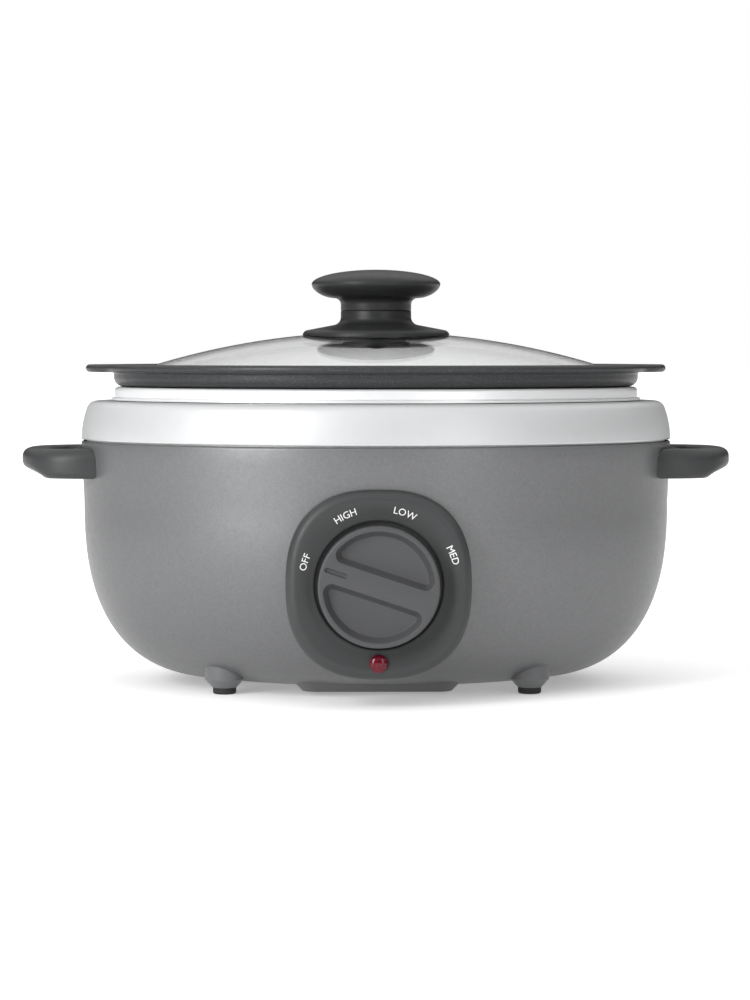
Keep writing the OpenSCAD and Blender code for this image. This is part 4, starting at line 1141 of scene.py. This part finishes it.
def remove_font_object(holder):
    curve = holder.data
    bpy.data.objects.remove(holder)
    bpy.data.curves.remove(curve)


def letter_outline(letter):
    holder = font_object(letter)
    graph = bpy.context.evaluated_depsgraph_get()
    data = bpy.data.meshes.new_from_object(holder.evaluated_get(graph))
    remove_font_object(holder)
    mesh = bmesh.new()
    mesh.from_mesh(data)
    bpy.data.meshes.remove(data)
    return mesh


def letter_mesh(letter):
    """A letter's flat mesh at the cap height, with its left edge at 0, and its width."""
    mesh = letter_outline(letter)
    bmesh.ops.remove_doubles(mesh, verts=mesh.verts, dist=1e-5)
    bmesh.ops.triangulate(mesh, faces=mesh.faces[:])
    low_x = min(v.co.x for v in mesh.verts)
    high_x = max(v.co.x for v in mesh.verts)
    scale = CAP_HEIGHT / CAP_SIZE
    for v in mesh.verts:
        v.co = Vector(((v.co.x - low_x) * scale, v.co.y * scale, 0))
    return mesh, (high_x - low_x) * scale


def cap_size():
    """Height of a capital at the font's own size."""
    holder = font_object("H")
    height = holder.dimensions.y
    remove_font_object(holder)
    return height


CAP_SIZE = cap_size()


def word(text, angle, radius, gap):
    letters = [letter_mesh(letter) for letter in text]
    total = sum(width for _, width in letters) + gap * (len(text) - 1)
    whole = bmesh.new()
    run = -total / 2
    base = radius - CAP_HEIGHT / 2
    for mesh, width in letters:
        turn = math.radians(angle) - (run + width / 2) / radius
        c, s = math.cos(turn), math.sin(turn)
        solid = bmesh.ops.extrude_face_region(mesh, geom=mesh.faces[:])
        front = {v for v in solid["geom"] if isinstance(v, bmesh.types.BMVert)}
        for v in mesh.verts:
            across = v.co.x - width / 2
            out = base + v.co.y
            x = c * out + s * across
            up = s * out - c * across
            place = math.hypot(x, up)
            lift = LETTER_FRONT if v in front else LETTER_BACK
            forward = face_height(math.atan2(up, x), place) + lift
            v.co = Vector(metres(facing_front((x, up, forward), z=DIAL_Z)))
        data = mesh_data(mesh, "part")
        whole.from_mesh(data)
        bpy.data.meshes.remove(data)
        run += width + gap
    piece(whole, "word_" + text.lower(), "base", "bezel_plastic", paint="label_white")


for line in WORDS:
    word(*line)


# ---- Stage, lights and camera. Lengths here are in metres. ----

WHITE = (1, 1, 1, 1)
FLOOR_HALF = 20.0
FLOOR_GLOW = (0.2, 1.3, 0.3, 0.5)        # from, to (distance from the middle), low, high (strength)
WORLD_LIGHT = (0.25, 0.7, 0.05, 1.15)    # from, to (upward part of the direction), low, high


def floor():
    """A pale floor that glows a little, and more so further out."""
    mesh = bmesh.new()
    bmesh.ops.create_grid(mesh, x_segments=2, y_segments=2, size=FLOOR_HALF)
    thing = add_object("floor", mesh_data(mesh, "floor"))
    paper = surface("floor_white", color=(0.93, 0.93, 0.93), rough=0.9, vary=0.01, grain=4.0)
    tree = paper.node_tree
    shader = tree.nodes["Principled BSDF"]
    shader.inputs["Emission Color"].default_value = WHITE
    away = tree.nodes.new("ShaderNodeVectorMath")
    away.operation = "LENGTH"
    tree.links.new(object_place(tree), away.inputs[0])
    glow = ramp(tree, away.outputs["Value"], *FLOOR_GLOW)
    tree.links.new(glow, shader.inputs["Emission Strength"])
    thing.data.materials.append(paper)


def softbox(name, place, aim, size, power):
    light = bpy.data.lights.new(name, "AREA")
    light.shape = "RECTANGLE"
    light.size, light.size_y = size
    light.energy = power
    holder = add_object(name, light)
    holder.location = place
    holder.rotation_euler = (Vector(aim) - Vector(place)).to_track_quat("-Z", "Y").to_euler()


def background(tree, strength):
    lamp = tree.nodes.new("ShaderNodeBackground")
    lamp.inputs["Color"].default_value = WHITE
    feed(tree, strength, lamp.inputs["Strength"])
    return lamp.outputs[0]


def studio():
    """Plain white to the camera and through glass, and light from above for everything else."""
    world = bpy.data.worlds.new("studio")
    world.use_nodes = True
    tree = world.node_tree
    tree.nodes.clear()
    direction = tree.nodes.new("ShaderNodeSeparateXYZ")
    generated = tree.nodes.new("ShaderNodeTexCoord").outputs["Generated"]
    tree.links.new(generated, direction.inputs[0])
    overhead = ramp(tree, direction.outputs["Z"], *WORLD_LIGHT)
    path = tree.nodes.new("ShaderNodeLightPath")
    straight = tree.nodes.new("ShaderNodeMath")
    straight.operation = "MAXIMUM"
    tree.links.new(path.outputs["Is Camera Ray"], straight.inputs[0])
    tree.links.new(path.outputs["Is Transmission Ray"], straight.inputs[1])
    both = tree.nodes.new("ShaderNodeMixShader")
    tree.links.new(straight.outputs["Value"], both.inputs[0])
    tree.links.new(background(tree, overhead), both.inputs[1])
    tree.links.new(background(tree, 1.0), both.inputs[2])
    output = tree.nodes.new("ShaderNodeOutputWorld")
    tree.links.new(both.outputs[0], output.inputs["Surface"])
    return world


floor()
softbox("key", place=(-1.2, -1.3, 0.7), aim=(-0.05, 0, 0.1), size=(0.6, 1.2), power=25)
softbox("fill", place=(0.85, -1.6, 0.5), aim=(0.05, 0, 0.08), size=(0.25, 0.9), power=3.6)

scene = bpy.context.scene
scene.view_settings.view_transform = "Standard"
scene.world = studio()

CAMERA_PLACE = (-0.017, -1.55, 0.1855)
CAMERA_DOWN = 3.142     # degrees below the horizon
CAMERA_TURN = -0.608    # degrees, anticlockwise from straight ahead

camera = add_object("camera", bpy.data.cameras.new("camera"))
camera.data.sensor_fit = "VERTICAL"
camera.data.sensor_height = 36.0
camera.data.lens = 100.9
camera.data.clip_end = 50
camera.location = CAMERA_PLACE
camera.rotation_euler = (math.radians(90 - CAMERA_DOWN), 0, math.radians(CAMERA_TURN))
scene.camera = camera

bpy.context.view_layer.update()
